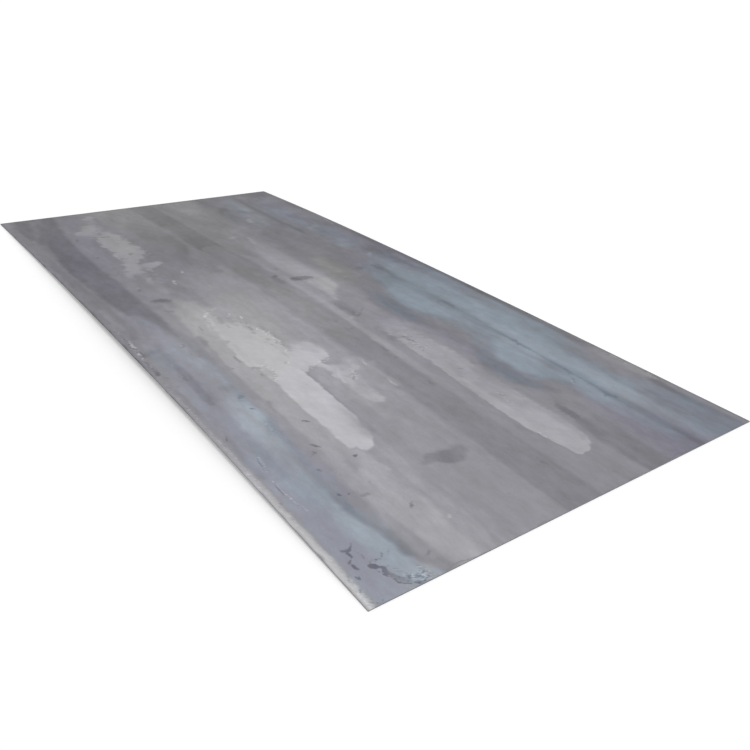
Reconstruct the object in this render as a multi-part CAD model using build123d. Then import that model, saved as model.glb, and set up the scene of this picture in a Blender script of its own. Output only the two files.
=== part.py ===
"""Hot-rolled steel plate: one rolled piece, lying on its two sheared ends.

Frame: X runs along the rolling direction towards the near end, Y across the plate towards the back edge, and
Z up. The origin is on the floor, under the middle of the plate. All lengths are in millimetres.
"""

import os

from build123d import *

# Stock size
LENGTH = 2500.0
WIDTH = 1250.0
THICKNESS = 3.0

# Bow of each long edge: how far the edge's curve is pulled up at a third of the length from each end.
# The plate's ends stay straight and on the floor, so the two edges differ and the plate is slightly wound.
FRONT_RISE_NEAR = 38.0
FRONT_RISE_FAR = 30.0
BACK_RISE_NEAR = 13.0
BACK_RISE_FAR = 26.0

# Mill edges on the two long sides: the rolls leave a thinner margin with a rounded nose.
MARGIN_WIDTH = 14.0
MARGIN_DROP = 0.35
NOSE_RADIUS = 0.9
NOSE_SHARE_OF_SIDE = 0.45  # the most of the side's height that one rounding may take


def long_edge(y, z, rise_near, rise_far):
    """One corner line of a long side: a cubic curve that is at height z at both ends of the plate."""
    third = LENGTH / 6
    return Bezier(
        (-LENGTH / 2, y, z),
        (-third, y, z + rise_far),
        (third, y, z + rise_near),
        (LENGTH / 2, y, z),
    )


def long_side_outline(y, rise_near, rise_far):
    """Outline of one long side: two like curves, one thickness apart, closed by the upright ends."""
    top = long_edge(y, THICKNESS, rise_near, rise_far)
    bottom = long_edge(y, 0, rise_near, rise_far)
    near_end = Line(top @ 1, bottom @ 1)
    far_end = Line(bottom @ 0, top @ 0)
    return make_face([top, near_end, bottom, far_end])


def bowed_sheet():
    """Full-width sheet with square sides: straight rules from the front side's outline to the back side's."""
    front = long_side_outline(-WIDTH / 2, FRONT_RISE_NEAR, FRONT_RISE_FAR)
    back = long_side_outline(WIDTH / 2, BACK_RISE_NEAR, BACK_RISE_FAR)
    return loft([front, back], ruled=True)


def long_side(part, direction):
    """The upright face of one long side: direction is +1 for the back and -1 for the front."""
    return part.faces().sort_by(Axis.Y)[-1 if direction > 0 else 0]


def with_mill_edges(part):
    """Thins both long margins, above and below, and rounds the two corners of each long side."""
    for direction in (-1, 1):
        side = long_side(part, direction)
        corners = side.edges().filter_by(lambda edge: edge.length > LENGTH / 2)
        part = chamfer(corners, MARGIN_DROP, MARGIN_WIDTH, reference=side)
    side_height = THICKNESS - 2 * MARGIN_DROP
    radius = min(NOSE_RADIUS, NOSE_SHARE_OF_SIDE * side_height)
    for direction in (-1, 1):
        side = long_side(part, direction)
        corners = side.edges().filter_by(lambda edge: edge.length > LENGTH / 2)
        part = fillet(corners, radius)
    return part


plate = with_mill_edges(bowed_sheet())

os.makedirs("parts", exist_ok=True)
export_step(plate, "parts/steel_plate.step")
print("steel_plate", plate.bounding_box(), "volume", plate.volume, "faces", len(plate.faces()))
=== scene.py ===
"""Looks of the hot-rolled steel plate: its rolled skin with mill scale, temper colours and rubbed patches.

The plate lies in the CAD frame: X along the rolling direction towards the near end, Y across towards the back
edge, Z up, with the floor at zero. Shapes and marks are worked out in millimetres and put into the mesh in
metres.
"""

import math

import bpy
import numpy as np
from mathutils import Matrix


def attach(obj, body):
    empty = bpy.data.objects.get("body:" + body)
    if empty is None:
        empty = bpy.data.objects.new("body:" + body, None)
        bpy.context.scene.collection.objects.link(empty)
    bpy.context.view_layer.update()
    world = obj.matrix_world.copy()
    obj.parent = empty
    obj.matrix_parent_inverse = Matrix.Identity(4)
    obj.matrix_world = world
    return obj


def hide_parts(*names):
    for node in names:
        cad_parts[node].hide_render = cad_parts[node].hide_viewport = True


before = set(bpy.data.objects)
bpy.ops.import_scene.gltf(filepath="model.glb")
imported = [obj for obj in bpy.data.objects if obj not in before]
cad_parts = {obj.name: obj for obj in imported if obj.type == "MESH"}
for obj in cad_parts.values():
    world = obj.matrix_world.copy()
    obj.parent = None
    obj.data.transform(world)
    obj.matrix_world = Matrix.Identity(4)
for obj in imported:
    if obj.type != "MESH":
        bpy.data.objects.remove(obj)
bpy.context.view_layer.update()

MM = 0.001  # metres in a millimetre

# Sizes of the plate, as in the CAD model
LENGTH = 2500.0
WIDTH = 1250.0
THICKNESS = 3.0
FRONT_RISE_NEAR = 38.0
FRONT_RISE_FAR = 30.0
BACK_RISE_NEAR = 13.0
BACK_RISE_FAR = 26.0
MARGIN_WIDTH = 14.0
MARGIN_DROP = 0.35
NOSE_RADIUS = 0.9

# Mesh of the rolled skin: its spacing grows evenly from the near end to the far end, and from front to back
STATIONS = 404
TOP_LINES = 204
UNDERSIDE_LINES = 12
NOSE_STEPS = 4
NEAR_TO_FAR_SPACING = 0.22
FRONT_TO_BACK_SPACING = 0.32

# Relief of the skin, all of it inwards, so that the skin stays inside the CAD plate. Hills are given by
# the length and width of their cells in mm, a seed and, where there aren't 3, the number of octaves.
ROLLOVER_RADIUS = 0.5  # the shear's blade bends the upper corner of each end down
ROLLOVER_STEPS = 4
UPPER_HALF = (0.4, 0.6)  # shares of the thickness between which the underside gives way to the top
WAVE_DEPTH = 0.25  # slow unevenness of a rolled face
WAVE_HILLS = (420.0, 260.0, 11, 2)
WAVE_FADE_SIDE = 60.0  # the waves die out over this distance from a long side
WAVE_FADE_END = 40.0  # and over this distance from an end
RAGGED_DEPTH = 0.9  # how far a mill edge wanders in from the straight line
RAGGED_HILLS = (90.0, 50.0, 21)
RAGGED_ROW = 500.0  # the row of hills that each long side follows, on its own side of zero
RAGGED_REACH = 2 * MARGIN_WIDTH  # how far in from the side the wandering is felt

LEVEL_RANGE = 4.0  # levels of marks are held between plus and minus this many edge widths
WIPED_TURN = 54.0  # degrees from the rolling direction at which the edges of marks are pulled into teeth


def smooth(low, high, value):
    """Smooth step: 0 below low, 1 above high, and a cubic ease between them."""
    share = np.clip((value - low) / (high - low), 0.0, 1.0)
    return share * share * (3.0 - 2.0 * share)


def hills(x, y, cell_x, cell_y, seed):
    """Smooth random hills from -1 to 1: random heights at the corners of a grid, eased between them."""
    across = x / cell_x
    up = y / cell_y
    low_x = math.floor(across.min())
    low_y = math.floor(up.min())
    columns = math.ceil(across.max()) - low_x + 2
    rows = math.ceil(up.max()) - low_y + 2
    heights = np.random.default_rng(seed).uniform(-1.0, 1.0, (rows, columns))
    column = np.floor(across).astype(int) - low_x
    row = np.floor(up).astype(int) - low_y
    share_x = smooth(0.0, 1.0, across - np.floor(across))
    share_y = smooth(0.0, 1.0, up - np.floor(up))
    lower = heights[row, column] * (1 - share_x) + heights[row, column + 1] * share_x
    upper = heights[row + 1, column] * (1 - share_x) + heights[row + 1, column + 1] * share_x
    return lower * (1 - share_y) + upper * share_y


def rough_hills(x, y, cell_x, cell_y, seed, octaves=3):
    """Hills with smaller hills on them: each octave has half the cell and half the height of the last."""
    total = np.zeros_like(x)
    for octave in range(octaves):
        share = 0.5 ** octave
        total += share * hills(x, y, cell_x * share, cell_y * share, seed + octave)
    return total


def hollows(depth, x, y, cell_x, cell_y, seed, octaves=3):
    """Rough hills turned into a depth, which runs from 0 to the given one."""
    highest = 2.0 - 0.5 ** (octaves - 1)
    return depth * (0.5 + 0.5 * rough_hills(x, y, cell_x, cell_y, seed, octaves) / highest)


def rise(x, y):
    """Height of the underside: a cubic curve along each long side, with straight rules between the two."""
    along = x / LENGTH + 0.5
    across = y / WIDTH + 0.5
    far_share = 3.0 * along * (1.0 - along) ** 2
    near_share = 3.0 * along ** 2 * (1.0 - along)
    front = far_share * FRONT_RISE_FAR + near_share * FRONT_RISE_NEAR
    back = far_share * BACK_RISE_FAR + near_share * BACK_RISE_NEAR
    return front + across * (back - front)


def graded(low, high, count, spacing_ratio):
    """Values from low to high. The spacing changes evenly, and at low it is spacing_ratio of that at high."""
    share = np.linspace(0.0, 1.0, count)
    eased = share * spacing_ratio + 0.5 * share ** 2 * (1.0 - spacing_ratio)
    return low + (high - low) * eased / eased[-1]


def skin_section():
    """Closed section of the plate: from the front over the top and the back nose, then along the underside.

    Each point has its place across, its height in a flat plate, and 1 on the top face or 0 elsewhere. A
    margin falls evenly over its width, and each corner of a nose is a quarter circle."""
    half = WIDTH / 2
    flat = half - NOSE_RADIUS
    top_y = graded(-flat, flat, TOP_LINES, FRONT_TO_BACK_SPACING)
    under_y = np.linspace(flat, -flat, UNDERSIDE_LINES)

    def thinning(y):
        return MARGIN_DROP * np.clip((np.abs(y) - half + MARGIN_WIDTH) / MARGIN_WIDTH, 0.0, 1.0)

    turn = np.linspace(0.0, math.pi / 2, NOSE_STEPS + 2)[1:]
    out = flat + NOSE_RADIUS * np.sin(turn)
    drop = NOSE_RADIUS * (1.0 - np.cos(turn))
    side_top = THICKNESS - MARGIN_DROP - drop
    side_under = MARGIN_DROP + drop
    y = np.concatenate([top_y, out, out[::-1], under_y, -out, -out[::-1]])
    height = np.concatenate([
        THICKNESS - thinning(top_y), side_top, side_under[::-1],
        thinning(under_y), side_under, side_top[::-1],
    ])
    on_top = np.zeros_like(y)
    on_top[:TOP_LINES] = 1.0
    return y, height, on_top


def skin_stations():
    """Places along the length, far end first, and how far the shear's roll-over lowers the top at each.

    The last steps before each end follow a quarter circle. The spacing between grows towards the far end."""
    turn = np.linspace(0.0, math.pi / 2, ROLLOVER_STEPS + 1)[1:]
    inner = LENGTH / 2 - ROLLOVER_RADIUS
    end = inner + ROLLOVER_RADIUS * np.sin(turn)
    drop = ROLLOVER_RADIUS * (1.0 - np.cos(turn))
    middle = -graded(-inner, inner, STATIONS, NEAR_TO_FAR_SPACING)[::-1]
    x = np.concatenate([-end[::-1], middle, end])
    lowered = np.concatenate([drop[::-1], np.zeros(STATIONS), drop])
    return x, lowered


def plate_skin():
    """The whole skin of the plate as one closed grid: the section carried along the bowed length.

    Height is the bow's rise at that place, plus the section's height, less the relief of the face. Returns
    the vertices in millimetres, station by station, the quads, the two end polygons, and 1 for each vertex
    on top."""
    section_y, section_height, section_top = skin_section()
    station_x, lowered = skin_stations()
    x, y = np.meshgrid(station_x, section_y, indexing="ij")
    height = np.broadcast_to(section_height, x.shape)
    on_top = np.broadcast_to(section_top, x.shape)
    upper = smooth(*UPPER_HALF, height / THICKNESS)
    wave = hollows(WAVE_DEPTH, x, y, *WAVE_HILLS)
    face_relief = np.where(upper > 0.5, -wave, wave) * smooth(0.0, WAVE_FADE_SIDE, WIDTH / 2 - np.abs(y))
    face_relief *= smooth(0.0, WAVE_FADE_END, LENGTH / 2 - np.abs(x))
    wander = hollows(RAGGED_DEPTH, x, np.sign(y) * RAGGED_ROW, *RAGGED_HILLS)
    at_margin = smooth(WIDTH / 2 - RAGGED_REACH, WIDTH / 2, np.abs(y))
    place_y = y - np.sign(y) * wander * at_margin
    z = rise(x, place_y) + height - lowered[:, None] * upper + face_relief
    vertices = np.stack([x, place_y, z], axis=-1).reshape(-1, 3)
    stations, lines = x.shape
    index = np.arange(stations * lines).reshape(stations, lines)
    following = np.roll(index, -1, axis=1)
    quads = np.stack([index[:-1], index[1:], following[1:], following[:-1]], axis=-1).reshape(-1, 4)
    ends = [index[0], index[-1][::-1]]
    return vertices, quads, ends, on_top.reshape(-1)


def stroke(x, y, points):
    """Level and value of a stroke of the brush at each place.

    A stroke is a chain of points (x, y, half width, edge width, value), and each number runs evenly from one
    point to the next. The level is (half width less distance to the chain) over the edge width, so it is
    above 0 inside the stroke."""
    chain = np.asarray(points, dtype=float)
    level = np.full(x.shape, -LEVEL_RANGE)
    value = np.full(x.shape, chain[0, -1])
    for start, end in zip(chain[:-1], chain[1:]):
        step = end - start
        reach = step[0] ** 2 + step[1] ** 2
        share = np.clip(((x - start[0]) * step[0] + (y - start[1]) * step[1]) / reach, 0.0, 1.0)
        distance = np.hypot(x - start[0] - share * step[0], y - start[1] - share * step[1])
        half, edge, here_value = (start[k] + share * step[k] for k in (2, 3, 4))
        here = (half - distance) / edge
        better = here > level
        level = np.where(better, here, level)
        value = np.where(better, here_value, value)
    return np.minimum(level, LEVEL_RANGE), value


def paint(field, x, y, strokes):
    """Lays strokes over a field in order: inside a stroke the field takes its value, eased at its edge."""
    for points in strokes:
        level, value = stroke(x, y, points)
        field = field + (value - field) * smooth(-1.0, 1.0, level)
    return field


def marks(x, y, strokes, start_value):
    """Level and value of the strongest of several strokes at each place."""
    level = np.full(x.shape, -LEVEL_RANGE)
    value = np.full(x.shape, float(start_value))
    for points in strokes:
        here, here_value = stroke(x, y, points)
        better = here > level
        level = np.where(better, here, level)
        value = np.where(better, here_value, value)
    return level, value


# Tones are grey levels from 0 to 255. The skin darkens slowly from the near end to the far end: partly its
# own tone, partly painted light and reflection that are brighter towards the near end.
GROUND_X = (-1250.0, -700.0, -350.0, 0.0, 500.0, 1250.0)
GROUND_TONE = (125.0, 122.0, 127.0, 139.0, 143.0, 141.0)

# Bands and broad streaks of the scale, laid over each other in this order
TONE_STROKES = (
    # darker scale along the back third
    ((-1250, 430, 195, 30, 113), (-900, 430, 200, 30, 117), (-400, 430, 200, 30, 117), (0, 430, 195, 30, 124),
     (450, 420, 185, 25, 131), (1000, 420, 185, 25, 132), (1250, 420, 185, 25, 126)),
    # its clouds at the far end
    ((-1250, 585, 44, 34, 102), (-1120, 565, 26, 30, 108)),
    ((-1060, 560, 20, 24, 118), (-960, 530, 30, 30, 112), (-1010, 480, 26, 26, 111)),
    ((-1200, 500, 40, 34, 106), (-1130, 490, 24, 30, 108)),
    ((-1240, 250, 40, 30, 108), (-1120, 252, 24, 24, 108)),
    ((-1190, 452, 20, 18, 123), (-1120, 448, 18, 18, 121)),
    ((-1116, 530, 16, 20, 104), (-1104, 500, 14, 20, 105)),
    ((-880, 478, 22, 22, 121), (-720, 455, 22, 22, 124)),
    ((-810, 520, 28, 26, 109), (-760, 508, 20, 24, 109)),
    ((-690, 565, 24, 26, 113), (-620, 580, 20, 24, 113)),
    ((-622, 512, 16, 16, 130), (-606, 474, 17, 16, 131)),
    ((-530, 505, 22, 24, 113), (-500, 470, 18, 24, 113)),
    ((-480, 580, 18, 22, 118), (-440, 540, 22, 24, 121), (-370, 478, 24, 22, 130), (-330, 450, 14, 20, 125)),
    ((-260, 560, 50, 30, 104), (-110, 575, 46, 30, 104), (20, 592, 26, 24, 113)),
    ((-1160, 362, 26, 24, 117), (-1030, 376, 24, 22, 128), (-960, 374, 18, 16, 132)),
    ((-890, 348, 34, 24, 127), (-800, 352, 24, 24, 125), (-740, 338, 20, 24, 121)),
    ((-836, 303, 11, 12, 139), (-795, 292, 12, 11, 140)),
    ((-925, 431, 4, 9, 130), (-908, 429, 4, 9, 130)),
    ((-1036, 286, 18, 16, 99), (-985, 262, 22, 16, 97), (-960, 240, 12, 16, 104)),
    ((-960, 266, 16, 14, 107), (-900, 262, 18, 14, 108), (-830, 250, 9, 16, 114)),
    ((-690, 400, 24, 18, 107), (-660, 372, 18, 22, 110)),
    ((-704, 352, 18, 18, 112), (-656, 346, 18, 18, 112)),
    ((-640, 330, 30, 30, 116), (-500, 362, 36, 30, 117), (-330, 402, 26, 28, 114)),
    ((-682, 268, 9, 12, 128), (-670, 258, 9, 12, 128)),
    ((-616, 246, 14, 12, 110), (-590, 238, 12, 10, 111)),
    ((-574, 230, 9, 9, 130), (-564, 220, 9, 9, 130)),
    ((-400, 330, 26, 24, 123), (-320, 320, 24, 22, 125)),
    ((-255, 268, 22, 20, 130), (-120, 276, 24, 18, 131)),
    ((-76, 326, 10, 12, 131), (-36, 316, 10, 12, 132)),
    ((-30, 352, 24, 20, 118), (34, 344, 22, 20, 118)),
    # brown scale between the back temper band and the pale patch
    ((880, 290, 20, 22, 144), (980, 300, 20, 22, 140), (1100, 300, 20, 22, 137), (1250, 290, 20, 22, 134)),
    ((880, 250, 30, 20, 140), (1010, 264, 26, 20, 138), (1090, 240, 24, 18, 130), (1250, 240, 34, 18, 128)),
    ((1034, 228, 20, 14, 123), (1096, 214, 18, 16, 122)),
    ((1110, 206, 12, 14, 126), (1250, 204, 14, 14, 124)),
    ((400, 280, 26, 22, 130), (540, 290, 24, 22, 129)),
    # lighter upper stretch of the back temper band
    ((-60, 500, 36, 34, 130), (120, 500, 44, 26, 138), (260, 495, 50, 24, 143), (340, 500, 54, 18, 147),
     (460, 500, 56, 24, 140), (640, 470, 46, 22, 145), (760, 468, 34, 22, 146), (930, 456, 32, 15, 153),
     (1000, 456, 30, 16, 152), (1080, 456, 26, 18, 143), (1250, 452, 20, 20, 135)),
    ((400, 456, 12, 16, 147), (500, 450, 18, 16, 152), (560, 450, 24, 18, 151), (690, 442, 26, 16, 153),
     (800, 440, 20, 18, 148)),
    ((160, 560, 20, 18, 131), (420, 568, 24, 18, 134), (640, 560, 20, 20, 131), (800, 556, 20, 20, 132)),
    # its lower lobes
    ((90, 376, 28, 22, 131), (135, 356, 44, 18, 139), (200, 352, 50, 18, 142), (310, 352, 46, 16, 144),
     (390, 372, 26, 22, 138), (560, 396, 14, 22, 141), (620, 362, 30, 18, 146), (690, 334, 47, 16, 150),
     (752, 334, 50, 14, 149), (812, 350, 34, 18, 142), (872, 386, 18, 18, 141), (950, 378, 32, 16, 146),
     (1020, 374, 28, 16, 143), (1130, 376, 22, 20, 134), (1250, 372, 20, 24, 128)),
    # soft dark line between its two stretches
    ((-230, 442, 6, 16, 117), (-150, 436, 12, 14, 109), (-90, 434, 18, 12, 101), (-30, 436, 12, 11, 106),
     (40, 426, 12, 12, 111), (100, 434, 6, 13, 125), (180, 430, 5, 13, 130), (250, 428, 7, 11, 126),
     (305, 431, 9, 9, 117), (345, 427, 4, 11, 130), (420, 430, 4, 13, 135), (520, 419, 6, 14, 135),
     (610, 418, 7, 12, 130), (700, 415, 4, 13, 139), (790, 411, 8, 12, 130), (860, 411, 4, 13, 137),
     (930, 408, 5, 12, 134), (975, 404, 9, 10, 122), (1040, 405, 7, 13, 127), (1110, 405, 7, 13, 126),
     (1160, 408, 10, 11, 117), (1250, 410, 12, 11, 113)),
    # deep blue fringes under the lobes
    ((60, 280, 12, 22, 126), (140, 258, 18, 20, 117), (230, 246, 28, 18, 107), (340, 244, 26, 18, 113),
     (420, 262, 10, 20, 129)),
    ((160, 218, 10, 20, 124), (250, 212, 15, 20, 119), (340, 212, 8, 22, 127)),
    ((540, 312, 12, 16, 130), (620, 268, 22, 18, 124), (690, 240, 28, 16, 122), (780, 234, 30, 14, 119),
     (850, 262, 20, 16, 124), (890, 300, 12, 18, 133)),
    # brown strip and darker line along the back margin
    ((-1250, 612, 12, 10, 106), (-700, 606, 14, 10, 112), (-300, 608, 16, 11, 99), (-60, 612, 12, 9, 106),
     (150, 613, 10, 8, 101), (320, 611, 12, 8, 104), (520, 606, 12, 9, 111), (700, 602, 14, 11, 114),
     (780, 600, 20, 10, 136), (850, 600, 22, 10, 140), (960, 604, 20, 10, 143), (995, 608, 10, 8, 128),
     (1020, 613, 7, 7, 134), (1250, 613, 7, 7, 135)),
    ((994, 589, 9, 9, 113), (1040, 586, 12, 9, 111), (1090, 581, 13, 10, 114), (1160, 584, 11, 9, 115),
     (1250, 586, 9, 10, 122)),
    ((-300, 622, 3, 3, 94), (300, 621, 4, 3, 94), (760, 621, 4, 3, 100), (1250, 623, 2, 3, 112)),
    # pale stretch beyond the middle, on the back side
    ((-1220, 195, 36, 26, 127), (-1080, 150, 46, 30, 132), (-940, 160, 40, 28, 128),
     (-880, 162, 24, 20, 128)),
    ((-1040, 122, 5, 8, 132), (-1012, 106, 5, 6, 142), (-985, 98, 5, 6, 146), (-955, 100, 4, 6, 142)),
    ((-860, 108, 24, 22, 120), (-1080, 82, 12, 18, 122)),
    ((-690, 150, 40, 26, 127), (-560, 150, 42, 24, 132), (-450, 152, 44, 24, 135), (-300, 146, 50, 25, 151),
     (-190, 146, 50, 24, 155), (-140, 148, 48, 20, 154)),
    ((-612, 170, 8, 10, 143), (-530, 162, 8, 10, 145)),
    ((-636, 132, 9, 10, 143), (-626, 108, 9, 10, 143)),
    ((-760, 205, 22, 20, 122), (-560, 225, 16, 18, 120)),
    ((-70, 154, 44, 16, 158), (-20, 146, 38, 14, 160)),
    ((-120, 184, 14, 18, 158), (-30, 178, 24, 17, 164), (4, 146, 26, 15, 166), (46, 128, 16, 11, 163),
     (96, 112, 8, 8, 157)),
    ((-90, 90, 9, 8, 148), (30, 91, 8, 8, 147), (100, 90, 8, 8, 149)),
    # pale line beside the middle band
    ((-400, 62, 15, 14, 133), (-200, 66, 14, 12, 139), (-60, 66, 14, 8, 153), (140, 64, 14, 7, 153),
     (240, 56, 13, 6, 157), (330, 52, 9, 6, 151), (420, 48, 14, 5, 158), (480, 46, 14, 6, 157),
     (560, 44, 12, 6, 151), (720, 42, 12, 8, 149), (900, 44, 12, 11, 143), (1250, 40, 10, 11, 141)),
    ((240, 74, 7, 6, 161), (250, 48, 7, 6, 161)),
    ((346, 94, 10, 12, 133), (426, 90, 12, 12, 131)),
    ((590, 78, 14, 12, 141), (680, 74, 14, 12, 144), (820, 64, 10, 12, 140), (1000, 62, 9, 10, 138)),
    # dark band along the middle
    ((-1250, -24, 52, 6, 112), (-900, -24, 50, 6, 112), (-548, -18, 49, 5, 107)),
    ((-530, -16, 46, 9, 118), (-320, -6, 52, 7, 122), (-220, -5, 51, 7, 128), (-100, -4, 50, 6, 132),
     (0, -4, 50, 6, 139), (100, -6, 51, 5, 140),
     (300, -14, 54, 4, 132), (500, -24, 51, 3.5, 135), (700, -29, 53, 3, 137), (850, -31, 54, 3, 136),
     (1250, -36, 57, 4, 133)),
    ((50, 8, 9, 10, 143), (110, -30, 9, 10, 143), (160, -60, 9, 10, 146)),
    # mid grey on the front side of it
    ((-1250, -160, 74, 14, 129), (-1000, -160, 72, 16, 127), (-780, -140, 60, 22, 115),
     (-640, -190, 60, 24, 115),
     (-480, -230, 76, 26, 121), (-330, -230, 80, 24, 134), (-180, -180, 82, 20, 146), (0, -168, 84, 14, 154),
     (250, -166, 86, 11, 154), (500, -171, 82, 7, 155), (800, -178, 86, 5, 151), (1250, -180, 87, 5, 149)),
    ((-1200, -235, 24, 18, 130), (-1000, -230, 22, 18, 131), (-800, -225, 16, 18, 127)),
    ((-760, -105, 22, 16, 108), (-620, -108, 24, 16, 108), (-440, -180, 22, 22, 120),
     (-330, -280, 24, 22, 128)),
    ((-120, -240, 28, 22, 146), (40, -250, 30, 20, 154), (160, -250, 22, 16, 160)),
    ((-260, -112, 18, 18, 141), (-190, -100, 20, 16, 146)),
    ((-350, -84, 14, 10, 137), (-150, -82, 14, 8, 145), (100, -84, 14, 7, 152)),
    ((200, -104, 11, 16, 149), (460, -106, 11, 14, 150)),
    ((900, -106, 12, 12, 146), (1000, -106, 12, 12, 147)),
    # broad smears across the rolling direction
    ((1057, -363, 5, 9, 150), (1070, -373, 7, 9, 145)),
    ((966, -138, 16, 9, 135), (976, -165, 26, 9, 131), (970, -190, 27, 8, 129), (966, -220, 24, 8, 131),
     (976, -246, 12, 9, 136)),
    ((116, 100, 14, 10, 135), (150, 98, 18, 9, 132), (195, 98, 18, 9, 131), (236, 98, 14, 9, 135)),
    ((-150, -398, 27, 14, 117), (-134, -384, 22, 14, 119), (-104, -416, 12, 14, 123)),
    # light streak in front of that, towards the near end
    ((700, -300, 34, 10, 152), (900, -318, 40, 9, 155), (1250, -328, 40, 9, 158)),
    ((860, -362, 16, 10, 166), (1000, -364, 25, 10, 163), (1250, -370, 28, 10, 166)),
    ((-200, -390, 18, 22, 137), (-60, -370, 42, 22, 153), (60, -370, 50, 18, 166), (200, -385, 44, 14, 163),
     (400, -394, 40, 11, 161), (560, -394, 42, 9, 163), (800, -396, 38, 8, 162), (950, -406, 30, 12, 163),
     (1060, -410, 30, 12, 165), (1140, -402, 24, 12, 166), (1250, -390, 23, 14, 161)),
    ((820, -266, 9, 10, 152), (1000, -270, 10, 10, 151), (1180, -273, 10, 10, 152),
     (1250, -282, 14, 10, 155)),
    ((1066, -344, 9, 12, 166), (1110, -348, 13, 12, 172), (1160, -352, 9, 12, 168)),
    ((876, -404, 9, 12, 151), (918, -400, 11, 12, 150)),
    ((930, -390, 10, 10, 168), (1040, -388, 12, 10, 170), (1130, -386, 10, 10, 168)),
    ((-80, -330, 26, 22, 154), (0, -334, 32, 20, 165), (60, -336, 34, 18, 169), (160, -300, 42, 16, 173)),
    ((-20, -284, 22, 20, 157), (70, -276, 24, 18, 155), (120, -262, 14, 14, 158)),
    ((-60, -440, 16, 18, 145), (40, -438, 14, 14, 150), (130, -430, 8, 12, 150)),
    ((150, -412, 6, 8, 149), (240, -420, 5, 7, 146), (420, -436, 7, 8, 145), (640, -438, 6, 8, 148),
     (760, -442, 7, 8, 145)),
    ((576, -426, 5, 6, 146), (592, -434, 6, 6, 144)),
    # haze of the splash and of its torn tail
    ((320, -190, 20, 26, 160), (390, -180, 46, 18, 170), (440, -196, 34, 12, 168), (490, -184, 16, 12, 166),
     (530, -160, 34, 12, 165), (570, -172, 28, 12, 166), (620, -182, 20, 10, 163), (655, -178, 24, 9, 165),
     (692, -172, 20, 7, 166)),
    ((454, -148, 6, 5, 152), (476, -148, 13, 4, 150), (492, -154, 6, 4, 152)),
    ((470, -166, 11, 4, 153), (458, -186, 5, 4, 154)),
    ((480, -226, 12, 6, 159), (540, -228, 20, 7, 160), (640, -228, 20, 8, 159)),
    ((630, -208, 10, 12, 160), (700, -204, 14, 12, 161), (724, -192, 12, 14, 161), (770, -198, 12, 14, 158)),
    ((596, -152, 8, 12, 165), (644, -152, 8, 12, 164)),
    ((486, -112, 11, 9, 159), (530, -122, 16, 9, 162)),
    ((522, -58, 10, 12, 150), (548, -92, 10, 12, 155)),
    # violet grey beyond the middle, on the front side
    ((-1230, -360, 30, 22, 118), (-1050, -386, 30, 18, 121), (-800, -418, 28, 14, 128),
     (-560, -424, 26, 14, 127),
     (-250, -412, 30, 16, 133)),
    ((-540, -356, 14, 22, 134), (-440, -366, 16, 22, 136), (-300, -366, 18, 22, 140),
     (-210, -354, 18, 20, 145)),
    # dark violet band near the front edge
    ((-1250, -440, 34, 16, 103), (-1120, -462, 34, 13, 104), (-950, -492, 42, 12, 98),
     (-700, -518, 52, 10, 99),
     (-450, -516, 52, 10, 106), (-250, -506, 48, 11, 111), (-100, -500, 40, 12, 115), (20, -474, 18, 9, 122),
     (130, -468, 8, 9, 134)),
    ((-530, -558, 14, 12, 100), (-420, -554, 14, 12, 101)),
    ((-1250, -500, 30, 24, 108), (-1000, -524, 28, 18, 100), (-880, -556, 16, 12, 102)),
    ((-1250, -540, 40, 24, 104), (-1080, -570, 30, 16, 105), (-960, -572, 14, 12, 106)),
    # lighter strip between it and the front margin
    ((-1210, -510, 8, 12, 114), (-1060, -530, 11, 12, 116), (-980, -550, 8, 10, 113)),
    ((-1100, -602, 10, 7, 119), (-880, -596, 13, 7, 120), (-560, -594, 13, 6, 112), (-380, -590, 16, 7, 116),
     (-200, -586, 22, 9, 127), (20, -578, 22, 10, 130), (110, -584, 18, 10, 132)),
    # blue field along the front
    ((440, -566, 27, 14, 146), (700, -562, 36, 14, 153), (950, -562, 40, 12, 156), (1250, -558, 48, 12, 158)),
    ((560, -444, 8, 12, 150), (900, -440, 12, 14, 155), (1020, -436, 12, 11, 162),
     (1100, -446, 13, 12, 153), (1200, -438, 14, 12, 150)),
    ((-60, -520, 16, 16, 131), (80, -505, 22, 14, 146), (200, -502, 32, 14, 152), (300, -502, 40, 14, 153),
     (390, -498, 38, 14, 151), (460, -496, 28, 14, 146), (520, -511, 25, 14, 159), (566, -506, 33, 14, 163),
     (606, -500, 35, 15, 165), (650, -512, 30, 14, 167), (690, -514, 29, 15, 166),
     (740, -512, 31, 16, 163), (810, -518, 30, 16, 157),
     (900, -528, 26, 16, 158), (1000, -526, 21, 12, 156), (1060, -517, 26, 13, 161),
     (1100, -512, 28, 13, 161),
     (1180, -501, 24, 12, 155), (1238, -474, 22, 11, 166)),
    ((560, -486, 10, 12, 158), (590, -520, 10, 12, 166), (640, -530, 10, 12, 168)),
    ((676, -480, 8, 10, 153), (700, -488, 8, 10, 152)),
    ((452, -500, 8, 14, 138), (470, -482, 9, 14, 139)),
    ((458, -470, 10, 14, 139), (500, -470, 12, 13, 139), (536, -482, 8, 11, 142)),
    ((158, -418, 6, 9, 141), (196, -416, 10, 9, 138), (222, -426, 6, 9, 142)),
    # dark fringe behind its near end
    ((690, -450, 12, 12, 150), (850, -468, 13, 11, 149), (940, -482, 12, 9, 144), (1000, -496, 10, 7, 130),
     (1050, -487, 7, 8, 136), (1110, -474, 8, 8, 136), (1170, -472, 9, 8, 131), (1200, -458, 8, 10, 145),
     (1250, -425, 10, 10, 147)),
    # violet grey between the blue field and the margin
    ((220, -578, 14, 11, 139), (320, -580, 15, 10, 146), (420, -581, 17, 10, 152), (560, -575, 22, 9, 150),
     (720, -578, 24, 9, 154),
     (900, -580, 24, 8, 155), (1100, -582, 25, 8, 152), (1250, -575, 30, 8, 155)),
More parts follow.
